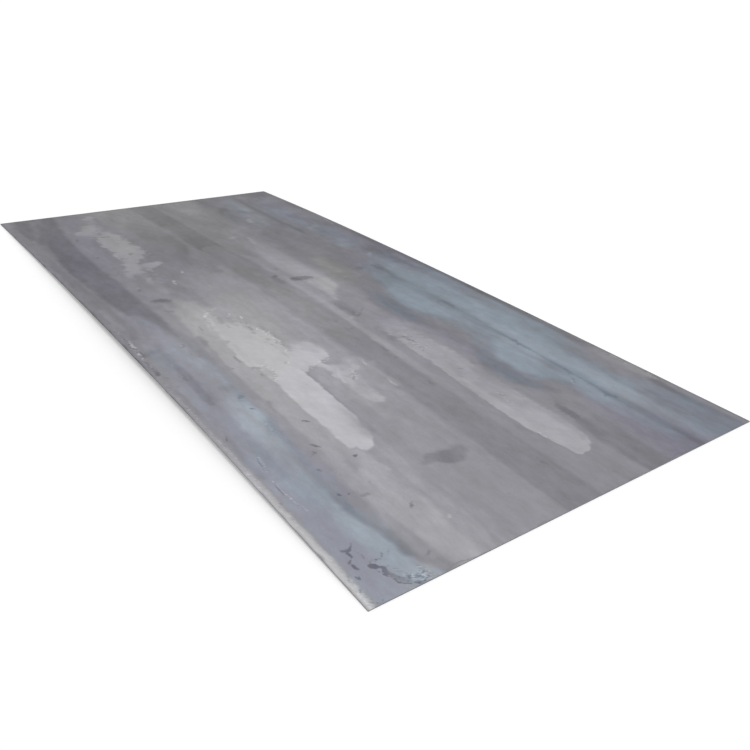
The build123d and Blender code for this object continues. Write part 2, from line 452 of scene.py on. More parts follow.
    ((228, -542, 9, 10, 139), (300, -546, 10, 8, 135), (390, -546, 11, 7, 136), (440, -549, 12, 6, 135),
     (506, -552, 9, 6, 135)),
    ((160, -540, 8, 14, 138), (180, -540, 10, 12, 135), (188, -568, 15, 11, 130), (200, -594, 12, 9, 124)),
    ((30, -582, 5, 12, 127), (80, -580, 9, 12, 124)),
    ((670, -556, 9, 14, 149), (760, -554, 15, 16, 146), (850, -556, 13, 14, 149)),
    # pale strip on the front margin, brightest at the edge: partly worn scale, partly a painted sheen where
    # the margin tilts towards the light
    ((-1250, -620, 4, 5, 120), (0, -618, 5, 5, 129), (300, -617, 4, 4, 136), (440, -617, 4, 4, 150),
     (600, -616, 6, 5, 156), (720, -615, 7, 6, 161), (820, -615, 7, 6, 170), (1000, -614, 8, 4, 176),
     (1250, -613, 9, 4, 177)),
    ((780, -622, 1, 4, 174), (860, -620, 2, 5, 184), (1000, -617, 4, 5, 190), (1250, -616, 5, 5, 195)),
    ((-140, -606, 3, 6, 123), (-50, -606, 4, 6, 121)),
    ((40, -606, 4, 6, 120), (150, -607, 5, 5, 119)),
    ((230, -608, 4, 6, 126), (312, -607, 5, 7, 122)),
    ((420, -600, 6, 5, 137), (520, -602, 5, 5, 138), (640, -600, 4, 5, 147)),
    # dark rims of the ends and of the front edge: painted shade along the edges
    ((-1250, -624.5, 2, 2.5, 86), (300, -624.5, 2, 2.5, 90), (640, -625, 0.5, 2.5, 118)),
    ((1250, -600, 1, 2, 140), (1250, 0, 1, 2, 126), (1250, 610, 1, 2, 112)),
    ((-1248, -610, 4, 5, 92), (-1248, 610, 4, 5, 90)),
    # the blue field reaches further in at the near end
    ((1196, -476, 9, 10, 157), (1220, -466, 14, 10, 168), (1250, -459, 13, 10, 164)),
    # soft darker areas: behind the middle, at the far back corner and in the bands
    ((-290, 470, 22, 26, 120), (-160, 430, 34, 28, 120), (-30, 380, 24, 26, 122)),
    ((-1120, 580, 24, 30, 119), (-1050, 510, 24, 30, 119)),
    ((-890, 560, 20, 26, 121), (-835, 500, 20, 26, 122)),
    ((-1040, 224, 14, 22, 119), (-945, 218, 16, 22, 120)),
    ((-870, -76, 12, 14, 120), (-700, -76, 12, 14, 121)),
    ((-870, -566, 10, 12, 116), (-770, -566, 12, 12, 115), (-690, -566, 8, 12, 118)),
    ((-215, -392, 10, 18, 136), (-150, -388, 18, 18, 132), (-75, -386, 14, 18, 135)),
    ((190, 506, 18, 18, 136), (330, 506, 18, 18, 138)),
    ((700, 212, 10, 16, 133), (845, 206, 12, 16, 134)),
    ((680, -597, 9, 9, 141), (840, -597, 9, 9, 142)),
    # soft paler areas
    ((490, -78, 10, 12, 158), (660, -78, 10, 12, 157)),
    ((-150, -594, 10, 12, 141), (0, -588, 10, 12, 140)),
    ((590, 404, 12, 16, 150), (725, 404, 12, 16, 151)),
    ((-170, 588, 14, 16, 122), (-30, 588, 14, 16, 123)),
)

# Blue temper film, from 0 for none to 1 for the strongest blue
FILM_STROKES = (
    ((-1150, 520, 50, 50, 0.18), (-800, 490, 80, 60, 0.34), (-400, 520, 60, 60, 0.36)),
    ((-1150, 424, 8, 16, 0.3), (-800, 412, 10, 16, 0.4), (-560, 416, 10, 16, 0.45)),
    ((-622, 512, 16, 20, 0.4), (-606, 474, 18, 20, 0.4)),
    ((-420, 520, 24, 30, 0.38), (-360, 476, 30, 30, 0.55)),
    ((-510, 572, 18, 26, 0.1), (-430, 584, 18, 24, 0.1)),
    ((-1150, 365, 40, 40, 0.34), (-1000, 375, 50, 40, 0.42), (-850, 345, 50, 40, 0.36),
     (-700, 340, 30, 40, 0.2)),
    ((-1000, 270, 18, 18, 0.3), (-850, 260, 18, 18, 0.34)),
    ((-330, 510, 20, 60, 0.2), (-100, 505, 44, 50, 0.58), (100, 500, 70, 46, 0.88), (300, 500, 76, 44, 0.95),
     (650, 485, 66, 44, 0.85), (930, 466, 52, 40, 0.68), (1250, 490, 60, 44, 0.42)),
    ((-180, 410, 20, 44, 0.25), (-40, 400, 34, 40, 0.55), (60, 380, 46, 34, 0.8), (200, 352, 60, 30, 0.98),
     (330, 350, 54, 30, 0.88), (450, 378, 26, 30, 0.72), (560, 385, 26, 28, 0.76), (640, 346, 44, 26, 0.86),
     (720, 330, 56, 24, 0.95), (800, 340, 50, 26, 0.9), (880, 382, 26, 26, 0.72), (960, 374, 34, 26, 0.74),
     (1050, 380, 30, 28, 0.55),
     (1250, 375, 22, 30, 0.3)),
    ((-200, 560, 30, 30, 0.3), (-60, 570, 34, 28, 0.55), (200, 574, 32, 24, 0.72), (450, 572, 30, 24, 0.6),
     (640, 566, 30, 24, 0.62), (760, 556, 20, 24, 0.34)),
    ((960, 560, 20, 30, 0.3), (1060, 545, 44, 30, 0.55), (1250, 545, 44, 30, 0.5)),
    ((-160, 434, 12, 20, 0.4), (-84, 430, 20, 18, 0.85), (60, 430, 20, 20, 0.8), (350, 428, 20, 20, 0.85),
     (900, 410, 20, 20, 0.8),
     (1200, 408, 16, 20, 0.5)),
    ((400, 340, 22, 24, 0.5), (540, 342, 22, 24, 0.5)),
    ((80, 265, 18, 26, 0.3), (220, 248, 28, 24, 0.56), (340, 246, 26, 24, 0.46), (420, 262, 10, 24, 0.2)),
    ((560, 300, 14, 22, 0.4), (660, 256, 26, 22, 0.52), (760, 240, 28, 20, 0.62), (860, 262, 20, 24, 0.36)),
    ((580, 70, 20, 20, 0.14), (680, 66, 22, 20, 0.14), (760, 45, 20, 20, 0.12)),
    ((580, 170, 24, 20, 0.24), (720, 165, 30, 16, 0.3), (830, 165, 20, 16, 0.25)),
    ((180, -560, 30, 22, 0.26), (460, -562, 34, 22, 0.3), (900, -562, 40, 22, 0.32),
     (1250, -556, 54, 22, 0.34)),
    ((1060, -462, 10, 14, 0.2), (1180, -462, 10, 12, 0.24)),
    ((-20, -515, 22, 24, 0.26), (140, -490, 36, 24, 0.2), (260, -490, 52, 24, 0.27),
     (380, -490, 48, 24, 0.24),
     (460, -488, 38, 20, 0.16), (540, -503, 34, 18, 0.45), (640, -504, 42, 18, 0.55),
     (740, -514, 46, 18, 0.62),
     (840, -520, 44, 18, 0.56), (930, -526, 36, 18, 0.75), (1000, -520, 36, 15, 0.52),
     (1100, -516, 36, 16, 0.6), (1200, -494, 28, 13, 0.5),
     (1250, -470, 24, 11, 0.66)),
    ((880, -462, 14, 16, 0.2), (950, -484, 10, 12, 0.32), (1000, -496, 12, 10, 0.44),
     (1060, -486, 9, 11, 0.34)),
    ((1200, -478, 12, 14, 0.55), (1250, -464, 18, 14, 0.5)),
)

# Violet cast of the grey scale, from 0 for plain grey to 1
CAST_STROKES = (
    ((-1250, 0, 250, 60, 0.2), (-800, 0, 220, 80, 0.22), (-560, 20, 140, 80, 0.32)),
    ((-60, -190, 70, 60, 0.24), (200, -230, 90, 50, 0.22), (420, -330, 60, 40, 0.24)),
    ((-60, -350, 60, 50, 0.22), (160, -350, 70, 40, 0.2)),
    ((-60, 170, 30, 30, 0.2), (0, 150, 24, 24, 0.34)),
    ((320, 165, 36, 30, 0.75), (430, 165, 30, 30, 0.65)),
    ((-260, 290, 40, 34, 0.1), (-120, 272, 56, 34, 0.04), (-20, 240, 30, 30, 0.2)),
    ((-350, -20, 48, 30, 0.3), (0, -20, 48, 30, 0.3), (330, -20, 48, 30, 0.26)),
    ((-320, 560, 60, 44, 0.8), (-120, 565, 60, 44, 1.0), (60, 580, 40, 36, 0.9), (240, 590, 26, 30, 0.8)),
    ((-260, 420, 50, 40, 0.7), (-110, 385, 40, 36, 0.85)),
    ((900, 360, 30, 40, 0.7), (1050, 345, 50, 44, 0.9), (1250, 400, 120, 50, 1.0)),
    ((1050, 540, 40, 40, 0.8), (1250, 540, 60, 40, 0.85)),
    ((800, 600, 24, 20, 0.3), (1000, 604, 20, 16, 0.3)),
    ((-1000, -480, 40, 30, 0.7), (-600, -510, 56, 24, 0.85), (-200, -500, 50, 24, 0.7),
     (200, -530, 40, 24, 0.7),
     (600, -560, 40, 24, 0.85), (1250, -570, 40, 24, 0.9)),
    ((-1230, -370, 30, 26, 0.7), (-1000, -390, 34, 24, 0.8), (-700, -420, 34, 24, 0.8),
     (-400, -430, 30, 24, 0.6)),
    ((-1040, -326, 34, 24, 0.3), (-950, -356, 38, 24, 0.3)),
    ((100, 245, 30, 30, 0.7), (340, 245, 36, 30, 0.75), (700, 250, 40, 30, 0.8), (860, 260, 30, 30, 0.7)),
    ((-880, -305, 44, 34, 0.26), (-640, -312, 44, 34, 0.26)),
    ((690, -474, 14, 20, 0.7), (860, -474, 20, 20, 0.85), (960, -470, 20, 20, 0.8)),
    ((1000, -494, 10, 12, 0.8), (1080, -468, 10, 14, 0.45), (1180, -462, 10, 14, 0.4)),
    ((200, -392, 40, 24, 0.24), (600, -396, 40, 20, 0.32), (960, -386, 48, 24, 0.58),
     (1090, -382, 44, 24, 0.48),
     (1250, -380, 40, 24, 0.32)),
    ((300, -616, 8, 6, 0.4), (900, -614, 10, 5, 0.3), (1250, -613, 12, 5, 0.2)),
    ((-1040, 520, 60, 44, 0.9), (-800, 500, 60, 44, 1.0), (-640, 540, 50, 40, 0.7), (-430, 540, 60, 40, 1.0)),
)

# Patches where the scale is rubbed pale: the value is their tone
RUBBED_STROKES = (
    # the broad bright patch, torn at its far end and round at its near end
    ((60, -336, 4, 8, 168), (105, -332, 14, 11, 175), (140, -318, 30, 12, 179), (190, -301, 54, 11, 181),
     (250, -308, 58, 9, 184), (320, -312, 64, 8, 185), (390, -315, 62, 7, 186), (480, -308, 48, 6, 189),
     (620, -314, 51, 6, 190), (720, -318, 48, 6, 189), (806, -326, 42, 7, 190)),
    ((790, -356, 11, 5, 190), (834, -355, 11, 5, 190)),
    ((812, -322, 32, 8, 188), (838, -326, 24, 7, 190)),
    ((197, -350, 6, 5, 176), (202, -368, 6, 5, 174)),
    ((-70, -334, 4, 14, 158), (0, -334, 12, 12, 166), (60, -338, 14, 10, 171), (105, -336, 14, 9, 174)),
    ((-15, -276, 2, 5, 160), (-6, -290, 4, 5, 166), (1, -306, 3, 6, 162)),
    ((60, -357, 2, 4, 166), (110, -364, 2, 4, 168)),
    ((90, -256, 2, 8, 166), (150, -262, 8, 9, 174)),
    ((110, -262, 6, 12, 168), (170, -240, 9, 10, 172), (230, -236, 16, 10, 181), (300, -236, 15, 9, 182),
     (350, -242, 10, 8, 177)),
    # the splash beside it
    ((330, -166, 10, 30, 173), (352, -160, 18, 24, 178), (372, -166, 20, 20, 180), (400, -166, 29, 9, 184),
     (424, -163, 22, 5, 185)),
    ((316, -196, 8, 28, 170), (346, -198, 20, 24, 181), (388, -204, 34, 20, 186), (424, -206, 30, 9, 189),
     (444, -214, 20, 6, 188)),
    ((338, -236, 14, 24, 181), (370, -240, 20, 22, 183), (410, -240, 26, 12, 187), (450, -246, 19, 6, 187),
     (478, -250, 8, 5, 183)),
    ((450, -200, 8, 6, 182), (476, -196, 9, 5, 182), (500, -190, 9, 5, 180)),
    # its torn tail
    ((500, -176, 14, 6, 175), (540, -175, 17, 6, 178), (572, -184, 13, 5, 179), (612, -184, 11, 8, 171)),
    ((488, -111, 8, 8, 172), (514, -119, 11, 7, 171), (532, -142, 14, 6, 173), (542, -160, 16, 6, 175)),
    ((644, -174, 14, 14, 168), (674, -172, 22, 13, 174), (690, -177, 14, 13, 173)),
    ((625, -186, 9, 9, 170), (662, -187, 10, 9, 175)),
    # the long pale patch behind the middle band
    ((330, 152, 36, 30, 153), (420, 154, 45, 22, 161), (520, 150, 50, 16, 161), (620, 148, 52, 12, 161),
     (720, 136, 46, 13, 158), (820, 136, 52, 12, 159), (900, 134, 54, 11, 162), (960, 136, 57, 10, 167),
     (1030, 137, 52, 7, 169), (1066, 138, 46, 6, 169), (1098, 123, 29, 4, 169), (1113, 109, 14, 3, 167)),
    ((450, 112, 12, 5, 162), (540, 106, 12, 4, 164), (590, 106, 12, 4, 164), (650, 102, 13, 4, 163),
     (710, 98, 15, 4, 166), (740, 98, 19, 4, 164), (800, 98, 19, 4, 164), (850, 98, 22, 4, 168),
     (950, 96, 22, 4, 170), (1010, 100, 21, 3.5, 170), (1060, 106, 18, 3.5, 169), (1112, 105, 10, 3, 167)),
    # the frayed pale patch beyond the middle
    ((-1176, -288, 18, 14, 143), (-1130, -294, 19, 13, 145), (-1082, -302, 14, 13, 142)),
    ((-1152, -306, 3, 5, 145), (-1104, -309, 3, 5, 143)),
    ((-1040, -292, 8, 12, 140), (-992, -300, 10, 12, 143)),
    ((-1030, -318, 30, 18, 145), (-980, -340, 40, 18, 148), (-952, -368, 35, 16, 148),
     (-936, -392, 18, 14, 143)),
    ((-1000, -322, 16, 22, 143), (-930, -322, 34, 20, 147), (-850, -318, 46, 16, 150),
     (-790, -318, 50, 15, 151),
     (-740, -318, 56, 14, 153), (-690, -316, 61, 14, 154), (-645, -317, 61, 14, 154),
     (-612, -308, 42, 14, 151),
     (-580, -310, 34, 14, 151), (-555, -326, 28, 14, 150)),
    ((-945, -344, 18, 16, 144), (-885, -346, 20, 16, 147)),
    ((-905, -362, 4, 6, 152), (-860, -368, 4, 6, 152), (-812, -372, 3, 6, 150)),
    ((-652, -345, 22, 9, 155), (-640, -364, 16, 8, 154)),
    ((-756, -345, 18, 9, 156), (-750, -370, 12, 8, 155)),
    ((-482, -276, 22, 11, 150), (-478, -300, 22, 12, 150), (-474, -322, 22, 12, 150)),
    ((-560, -340, 27, 14, 154), (-510, -349, 29, 14, 156), (-460, -357, 36, 14, 157),
     (-420, -385, 25, 14, 151),
     (-392, -405, 12, 14, 147)),
    ((-434, -316, 9, 6, 147), (-424, -320, 9, 6, 147)),
    ((-388, -322, 4, 6, 147), (-378, -328, 4, 6, 147)),
    ((-356, -340, 4, 5, 156), (-350, -352, 5, 5, 157)),
    ((-350, -355, 8, 7, 151), (-320, -366, 9, 8, 150), (-304, -372, 6, 8, 147)),
    ((-330, -330, 14, 14, 141), (-310, -345, 14, 14, 142)),
    ((-646, -243, 4, 6, 145), (-630, -250, 4, 6, 143)),
    ((-602, -246, 4, 5, 147), (-592, -249, 4, 5, 147)),
    ((-592, -360, 3, 5, 149), (-566, -374, 3, 5, 151)),
    # small flecks
    ((-372, -221, 3, 6, 146), (-354, -230, 6, 6, 167)),
    ((-302, -291, 4, 5, 156), (-284, -295, 5, 5, 173), (-262, -297, 4, 5, 164)),
    ((886, -355, 6, 10, 170), (948, -338, 8, 10, 172)),
    # the upper side of the bright patch's torn end
    ((120, -268, 10, 12, 180), (205, -268, 14, 10, 182)),
)

# Softer tones inside those patches
SHADE_STROKES = (
    ((640, -276, 8, 12, 181), (696, -278, 14, 26, 169), (770, -280, 18, 28, 162), (800, -286, 20, 26, 164),
     (836, -276, 12, 18, 163)),
    ((430, -354, 12, 8, 176), (460, -350, 10, 8, 175)),
    ((250, -352, 8, 12, 177), (350, -362, 8, 12, 178)),
    ((1068, 180, 3, 5, 155), (1085, 160, 3, 5, 157)),
    ((700, 172, 14, 14, 150), (800, 176, 14, 14, 152)),
    ((640, 130, 10, 14, 154), (700, 128, 10, 14, 155)),
    ((500, -150, 8, 9, 160), (516, -160, 8, 9, 161)),
    ((412, -344, 6, 8, 174), (440, -338, 7, 8, 173), (468, -342, 6, 8, 173)),
    ((360, -180, 12, 12, 172), (390, -160, 10, 12, 174)),
    ((900, 176, 16, 18, 157), (1000, 184, 18, 16, 157), (1080, 178, 12, 14, 159)),
)

# Places inside the patches where the darker scale still stands
KEPT_STROKES = (
    ((394, -374, 5, 5, 0), (400, -364, 5, 5, 0), (408, -352, 3, 5, 0)),
    ((414, -368, 6, 6, 0), (440, -369, 8, 6, 0), (470, -368, 7, 6, 0)),
    ((474, -346, 1, 4, 0), (482, -356, 3, 4, 0)),
    ((222, -354, 7, 6, 0), (228, -368, 9, 6, 0)),
    ((452, -152, 5, 3, 0), (474, -150, 13, 3, 0), (488, -154, 6, 3, 0)),
    ((466, -166, 12, 3, 0), (461, -186, 5, 3, 0)),
    ((466, -214, 6, 4, 0), (482, -222, 11, 5, 0), (502, -234, 14, 6, 0)),
    ((-540, -300, 12, 7, 0), (-514, -312, 13, 7, 0)),
    ((-630, -308, 6, 6, 0), (-622, -318, 6, 6, 0)),
    ((-872, -314, 7, 8, 0), (-862, -326, 6, 8, 0)),
    ((-926, -318, 9, 9, 0), (-916, -330, 8, 9, 0)),
    ((-970, -304, 5, 7, 0), (-964, -314, 5, 7, 0)),
    ((-600, -372, 10, 8, 0), (-585, -386, 12, 8, 0)),
    ((-536, -376, 8, 6, 0), (-526, -384, 8, 6, 0)),
)

# How frayed the edges of those patches are, from 0 for smooth to 1
FRAYED_STROKES = (
    ((-1250, -320, 90, 30, 0.8), (-900, -330, 90, 40, 0.9), (-300, -340, 90, 40, 0.7)),
    ((-60, -320, 60, 40, 0.8), (150, -300, 70, 30, 0.6), (300, -245, 30, 20, 0.6)),
    ((340, -190, 40, 24, 0.5), (450, -180, 40, 20, 0.6), (560, -160, 60, 20, 0.7), (690, -180, 30, 20, 0.4)),
    ((330, 140, 60, 30, 0.9), (540, 140, 50, 30, 0.4)),
    ((480, 96, 12, 10, 0.35), (800, 82, 12, 10, 0.35), (1000, 76, 10, 10, 0.25)),
)

# Spots over all that: stains, lifted flakes, specks and bright scuffs. The value is their tone.
SPOT_STROKES = (
    # dark cores and bright rims of the smears across the rolling direction
    ((958, -178, 6, 12, 128), (974, -188, 8, 12, 126), (984, -200, 6, 12, 128)),
    ((968, -204, 1, 4, 142), (982, -212, 1, 4, 142)),
    ((-110, 144, 14, 9, 128), (-114, 122, 19, 9, 122), (-121, 92, 18, 9, 114)),
    ((-115, 104, 14, 6, 104), (-121, 92, 15, 6, 99)),
    ((-97, 146, 2, 4, 168), (-93, 138, 2, 4, 166)),
    ((-92, 112, 2.5, 4, 166), (-84, 104, 2.5, 4, 164)),
    ((-127, 68, 3, 4, 160), (-121, 67, 3, 4, 160)),
    ((-174, 42, 9, 7, 108), (-166, 34, 9, 7, 105)),
    ((-152, 30, 10, 11, 118), (-108, 32, 12, 12, 120)),
    ((-152, -416, 9, 13, 109), (-146, -396, 14, 12, 106), (-134, -380, 9, 13, 112)),
    ((-160, -424, 2, 5, 104), (-156, -427, 2, 5, 106)),
    ((-62, -424, 4, 9, 126), (-48, -404, 5, 9, 125)),
    ((-104, 346, 10, 14, 112), (-108, 366, 13, 13, 107), (-112, 384, 7, 14, 112)),
    ((-152, 396, 4, 9, 130), (-138, 388, 4, 9, 131)),
    ((-230, 506, 9, 10, 134), (-212, 490, 10, 10, 136)),
    # ragged dark line through the back temper band
    ((90, 434, 1, 8, 128), (180, 430, 3, 8, 124), (250, 428, 4, 8, 118), (305, 431, 5, 7, 111),
     (345, 427, 4, 8, 120), (420, 429, 3, 8, 126), (520, 419, 4, 8, 126), (610, 418, 5, 8, 121),
     (700, 415, 3, 8, 127), (790, 411, 5, 8, 121), (860, 411, 3, 8, 127), (930, 408, 4, 8, 124)),
    ((-1156, 426, 9, 11, 105), (-1000, 417, 11, 11, 102), (-850, 411, 11, 10, 104), (-720, 409, 12, 9, 101),
     (-660, 413, 9, 10, 103), (-600, 418, 12, 9, 96), (-550, 414, 7, 10, 104)),
    ((-112, 426, 7, 11, 104), (-72, 433, 12, 11, 99)),
    ((-44, 442, 5, 8, 105), (6, 430, 5, 8, 107)),
    ((276, 432, 7, 8, 108), (322, 431, 7, 8, 108), (338, 425, 3, 8, 114)),
    ((272, 420, 5, 8, 115), (279, 402, 4, 8, 123)),
    ((612, 426, 4, 8, 119), (636, 410, 4, 8, 122)),
    ((812, 412, 6, 8, 120), (846, 406, 6, 8, 122)),
    ((946, 408, 5, 8, 117), (964, 402, 6, 8, 115), (992, 408, 6, 8, 114)),
    ((972, 394, 5, 8, 122), (976, 388, 4, 8, 126)),
    ((1038, 402, 4, 8, 122), (1074, 404, 4, 8, 123)),
    ((1170, 408, 5, 9, 112), (1225, 410, 6, 9, 110)),
    # nicks in the temper band
    ((868, 384, 2.5, 4, 112), (882, 372, 2.5, 4, 114)),
    ((872, 376, 5, 7, 157), (882, 369, 4, 7, 155)),
    ((-62, 272, 3, 5, 146), (-56, 262, 3, 5, 148)),
    ((-46, 256, 3, 5, 113), (-38, 248, 3, 5, 114)),
    # soft smudges
    ((148, 95, 8, 9, 129), (174, 92, 12, 8, 124), (196, 100, 9, 8, 127), (213, 100, 10, 7, 119),
     (232, 93, 7, 7, 122)),
    ((198, 152, 2, 5, 127), (210, 137, 3, 5, 121), (222, 125, 3, 5, 119), (238, 107, 4, 5, 117),
     (245, 95, 4, 5, 119)),
    ((224, 112, 2, 4, 158), (232, 101, 2, 4, 156)),
    ((310, 26, 5, 9, 125), (316, 18, 5, 9, 125)),
    ((238, 12, 5, 11, 129), (250, 8, 5, 11, 129)),
    ((-246, 88, 5, 7, 127), (-230, 80, 5, 7, 127)),
    ((944, 230, 9, 11, 122), (966, 229, 13, 10, 117), (1000, 229, 12, 10, 116), (1026, 224, 7, 13, 121)),
    ((-170, -478, 8, 9, 108), (-160, -472, 8, 9, 108)),
    ((74, 136, 2, 3, 180), (78, 133, 2, 3, 178)),
    ((50, 151, 1.5, 3, 142), (57, 146, 1.5, 3, 142)),
    ((268, -58, 1.5, 3, 160), (288, -72, 1.5, 3, 160)),
    # crackled places in the long pale patch
    ((424, 124, 3, 3, 138), (434, 130, 4, 3, 134), (446, 138, 3, 3, 138)),
    ((452, 132, 3, 2.5, 123), (462, 131, 2.5, 2.5, 126)),
    ((462, 138, 2, 3, 140), (482, 136, 2, 3, 141)),
    ((440, 153, 1.5, 3, 142), (447, 150, 1.5, 3, 142)),
    ((412, 150, 2, 3, 171), (424, 144, 2, 3, 171)),
    ((446, 117, 3, 4, 172), (470, 115, 3, 4, 172)),
    ((505, 158, 1.5, 3, 180), (509, 156, 1.5, 3, 180)),
    ((516, 146, 2.5, 3, 188), (524, 140, 2.5, 3, 188)),
    ((509, 151, 1.5, 2.5, 133), (513, 153, 1.5, 2.5, 135)),
    ((522, 134, 2, 2.5, 131), (527, 131, 2, 2.5, 133)),
    ((528, 126, 2, 3, 133), (538, 117, 2, 3, 135)),
    ((664, 150, 2, 3, 143), (672, 146, 3, 3, 137), (664, 130, 2, 3, 147)),
    ((738, 146, 2, 4, 147), (745, 140, 2, 4, 147)),
    ((816, 142, 2.5, 4, 147), (836, 134, 3, 4, 145)),
    ((838, 146, 2, 3, 147), (846, 140, 2, 3, 145)),
    ((854, 142, 2, 4, 151), (876, 126, 2, 4, 151)),
    ((608, 97, 2, 3, 182), (614, 96, 2, 3, 180)),
    ((1008, 83, 2, 2.5, 188), (1014, 85, 2, 2.5, 186)),
    ((1026, 85, 2, 2.5, 187), (1036, 87, 2, 2.5, 185)),
    # dark specks right beside these bright flecks: painted shadows of lifted flakes
    ((1012, 77, 1.5, 2, 126), (1022, 78, 1.5, 2, 126)),
    ((1032, 79, 1.5, 2, 125), (1046, 82, 1.5, 2, 127)),
    # scuffs along the upper side of the bright patch
    ((214, -212, 2.5, 4, 185), (228, -222, 2.5, 4, 184)),
    ((255, -222, 3, 3.5, 202), (267, -224, 3, 3.5, 199)),
    ((281, -220, 3, 3.5, 195), (292, -222, 3, 3.5, 191)),
    # dark specks beside these bright scuffs: painted shadows of lifted flakes
    ((273, -224, 1.5, 3, 147), (294, -234, 2, 3, 143)),
    ((178, -233, 2.5, 3, 195), (187, -238, 2.5, 3, 193)),
    ((80, -234, 3.5, 4, 190), (95, -240, 3.5, 4, 194)),
    ((45, -257, 3.5, 4, 184), (55, -261, 3.5, 4, 186)),
    ((160, -250, 3, 4, 147), (180, -251, 3, 4, 147)),
    ((130, -245, 2, 4, 145), (139, -246, 2, 4, 145)),
    ((408, -264, 3, 3, 203), (420, -271, 3, 3, 201)),
    # a dark line under that bright scuff: painted shadow of a lifted flake
    ((404, -272, 1.5, 2.5, 158), (416, -280, 2, 2.5, 152)),
    ((12, -320, 5, 6, 186), (36, -334, 6, 6, 191)),
    ((62, -330, 5, 8, 184), (104, -340, 5, 7, 187)),
    ((88, -354, 2, 5, 178), (138, -367, 2, 5, 180)),
    ((60, -300, 9, 11, 152), (96, -306, 8, 10, 154)),
    ((118, -302, 3, 7, 165), (140, -304, 3, 6, 160)),
    ((-12, -276, 3.5, 5, 178), (-4, -290, 4, 5, 180)),
    ((46, -304, 4, 6, 170), (58, -308, 4, 6, 170)),
    ((345, -232, 3, 4, 197), (352, -240, 3, 4, 195)),
    # scuffs and lines along its lower side
    ((100, -361, 1.5, 2.5, 181), (140, -363, 1.5, 2.5, 179)),
    ((434, -346, 2, 3, 180), (444, -344, 2, 3, 182)),
    ((432, -358, 2, 3, 178), (438, -358, 2, 3, 176)),
    ((386, -358, 1.5, 2.5, 193), (396, -340, 1.5, 2.5, 195)),
    ((422, -322, 1.5, 2.5, 195), (440, -320, 1.5, 2.5, 193)),
    ((481, -342, 1.5, 2.5, 193), (487, -357, 1.5, 2.5, 191)),
    ((394, -368, 2.5, 3, 143), (400, -374, 2.5, 3, 141)),
    ((435, -368, 3, 3, 143), (446, -369, 3, 3, 145)),
    ((312, -384, 2.5, 3.5, 139), (352, -385, 2.5, 3.5, 140)),
    ((90, -382, 2, 4, 142), (120, -384, 2.5, 4, 140)),
    # scuffs of the splash
    ((456, -161, 2, 2.5, 172), (460, -161, 2, 2.5, 172)),
    ((445, -181, 2, 2.5, 192), (449, -183, 2, 2.5, 190)),
    ((482, -110, 2.5, 3, 176), (487, -110, 2.5, 3, 174)),
    ((532, -128, 2, 3, 180), (540, -138, 2.5, 2.5, 186), (549, -147, 2, 2.5, 184)),
    ((560, -156, 2.5, 2.5, 186), (566, -158, 2.5, 2.5, 184)),
    ((543, -134, 2, 2.5, 134), (548, -138, 2, 2.5, 136)),
    ((555, -147, 2, 2.5, 136), (559, -149, 2, 2.5, 138)),
    ((569, -152, 2, 2.5, 138), (577, -167, 2.5, 3, 134)),
    ((514, -172, 3, 5, 184), (540, -186, 4, 5, 187), (580, -195, 3, 5, 183)),
    ((602, -187, 2.5, 3, 178), (606, -187, 2.5, 3, 176)),
    ((660, -188, 5, 5, 174), (680, -190, 4, 5, 173)),
    ((498, -195, 3, 3, 184), (504, -195, 3, 3, 182)),
    ((466, -228, 2.5, 3, 184), (474, -228, 2.5, 3, 182)),
    ((490, -70, 1.5, 3, 162), (508, -79, 3, 3, 184), (526, -83, 2, 3, 174)),
    ((500, -87, 1.5, 3, 139), (514, -94, 1.5, 3, 139)),
    ((622, -80, 2, 3, 164), (640, -83, 3, 3, 178), (660, -80, 2, 3, 168), (680, -75, 1, 4, 158)),
    # lifted flakes at the near front corner
    ((1098, -552, 1.5, 2, 128), (1104, -555, 2, 2, 122), (1110, -562, 3, 2, 116), (1114, -567, 3, 2, 114)),
    ((1115, -573, 2.5, 2.5, 114), (1121, -571, 3.5, 2.5, 110), (1129, -572, 2.5, 2.5, 112)),
    ((1105, -580, 2.5, 3, 124), (1110, -572, 4, 3, 116)),
    ((1134, -578, 2.5, 2, 116), (1139, -586, 2.5, 2, 118)),
    ((1148, -583, 3, 2, 112), (1155, -583, 3.5, 2, 110), (1162, -581, 2, 2.5, 122)),
    ((1177, -590, 1.5, 2, 122), (1182, -594, 2.5, 2, 114)),
    ((1174, -596, 1.5, 2, 122), (1179, -596, 1.5, 2, 120)),
    ((1166, -554, 6, 2.5, 113), (1172, -548, 7, 2.5, 111)),
    ((1176, -541, 3, 2.5, 117), (1181, -536, 4, 2.5, 118), (1188, -537, 4.5, 3, 122),
     (1197, -540, 5, 3, 120)),
    ((1186, -543, 1.5, 2, 112), (1196, -546, 2, 2, 110), (1203, -542, 1.5, 2, 116)),
    ((1200, -535, 4, 3.5, 132), (1213, -532, 4.5, 3.5, 138), (1222, -527, 5, 3.5, 140),
     (1230, -516, 5, 3.5, 142)),
    ((1206, -538, 1.5, 2, 116), (1224, -536, 1.5, 2, 114), (1231, -527, 1.5, 2, 120),
     (1239, -516, 1.5, 2, 124)),
    ((1208, -528, 1, 2, 126), (1220, -524, 1.5, 2, 122), (1227, -513, 1.5, 2, 120)),
    ((1240, -508, 2, 3, 124), (1247, -503, 2, 3, 122)),
    ((1181, -526, 1.5, 2, 120), (1182, -527, 1.5, 2, 120)),
    ((1184, -549, 1.5, 2.5, 132), (1187, -550, 1.5, 2.5, 132)),
    ((1150, -516, 2, 2.5, 130), (1156, -521, 2, 2.5, 128)),
    ((1157, -536, 2, 2, 116), (1162, -538, 1.5, 2, 114)),
    ((1153, -544, 1.5, 2, 124), (1157, -545, 1.5, 2, 124)),
    ((1151, -498, 1, 2.5, 144), (1156, -506, 1, 2.5, 142)),
    ((1160, -524, 1, 2.5, 142), (1158, -532, 1.5, 2.5, 136)),
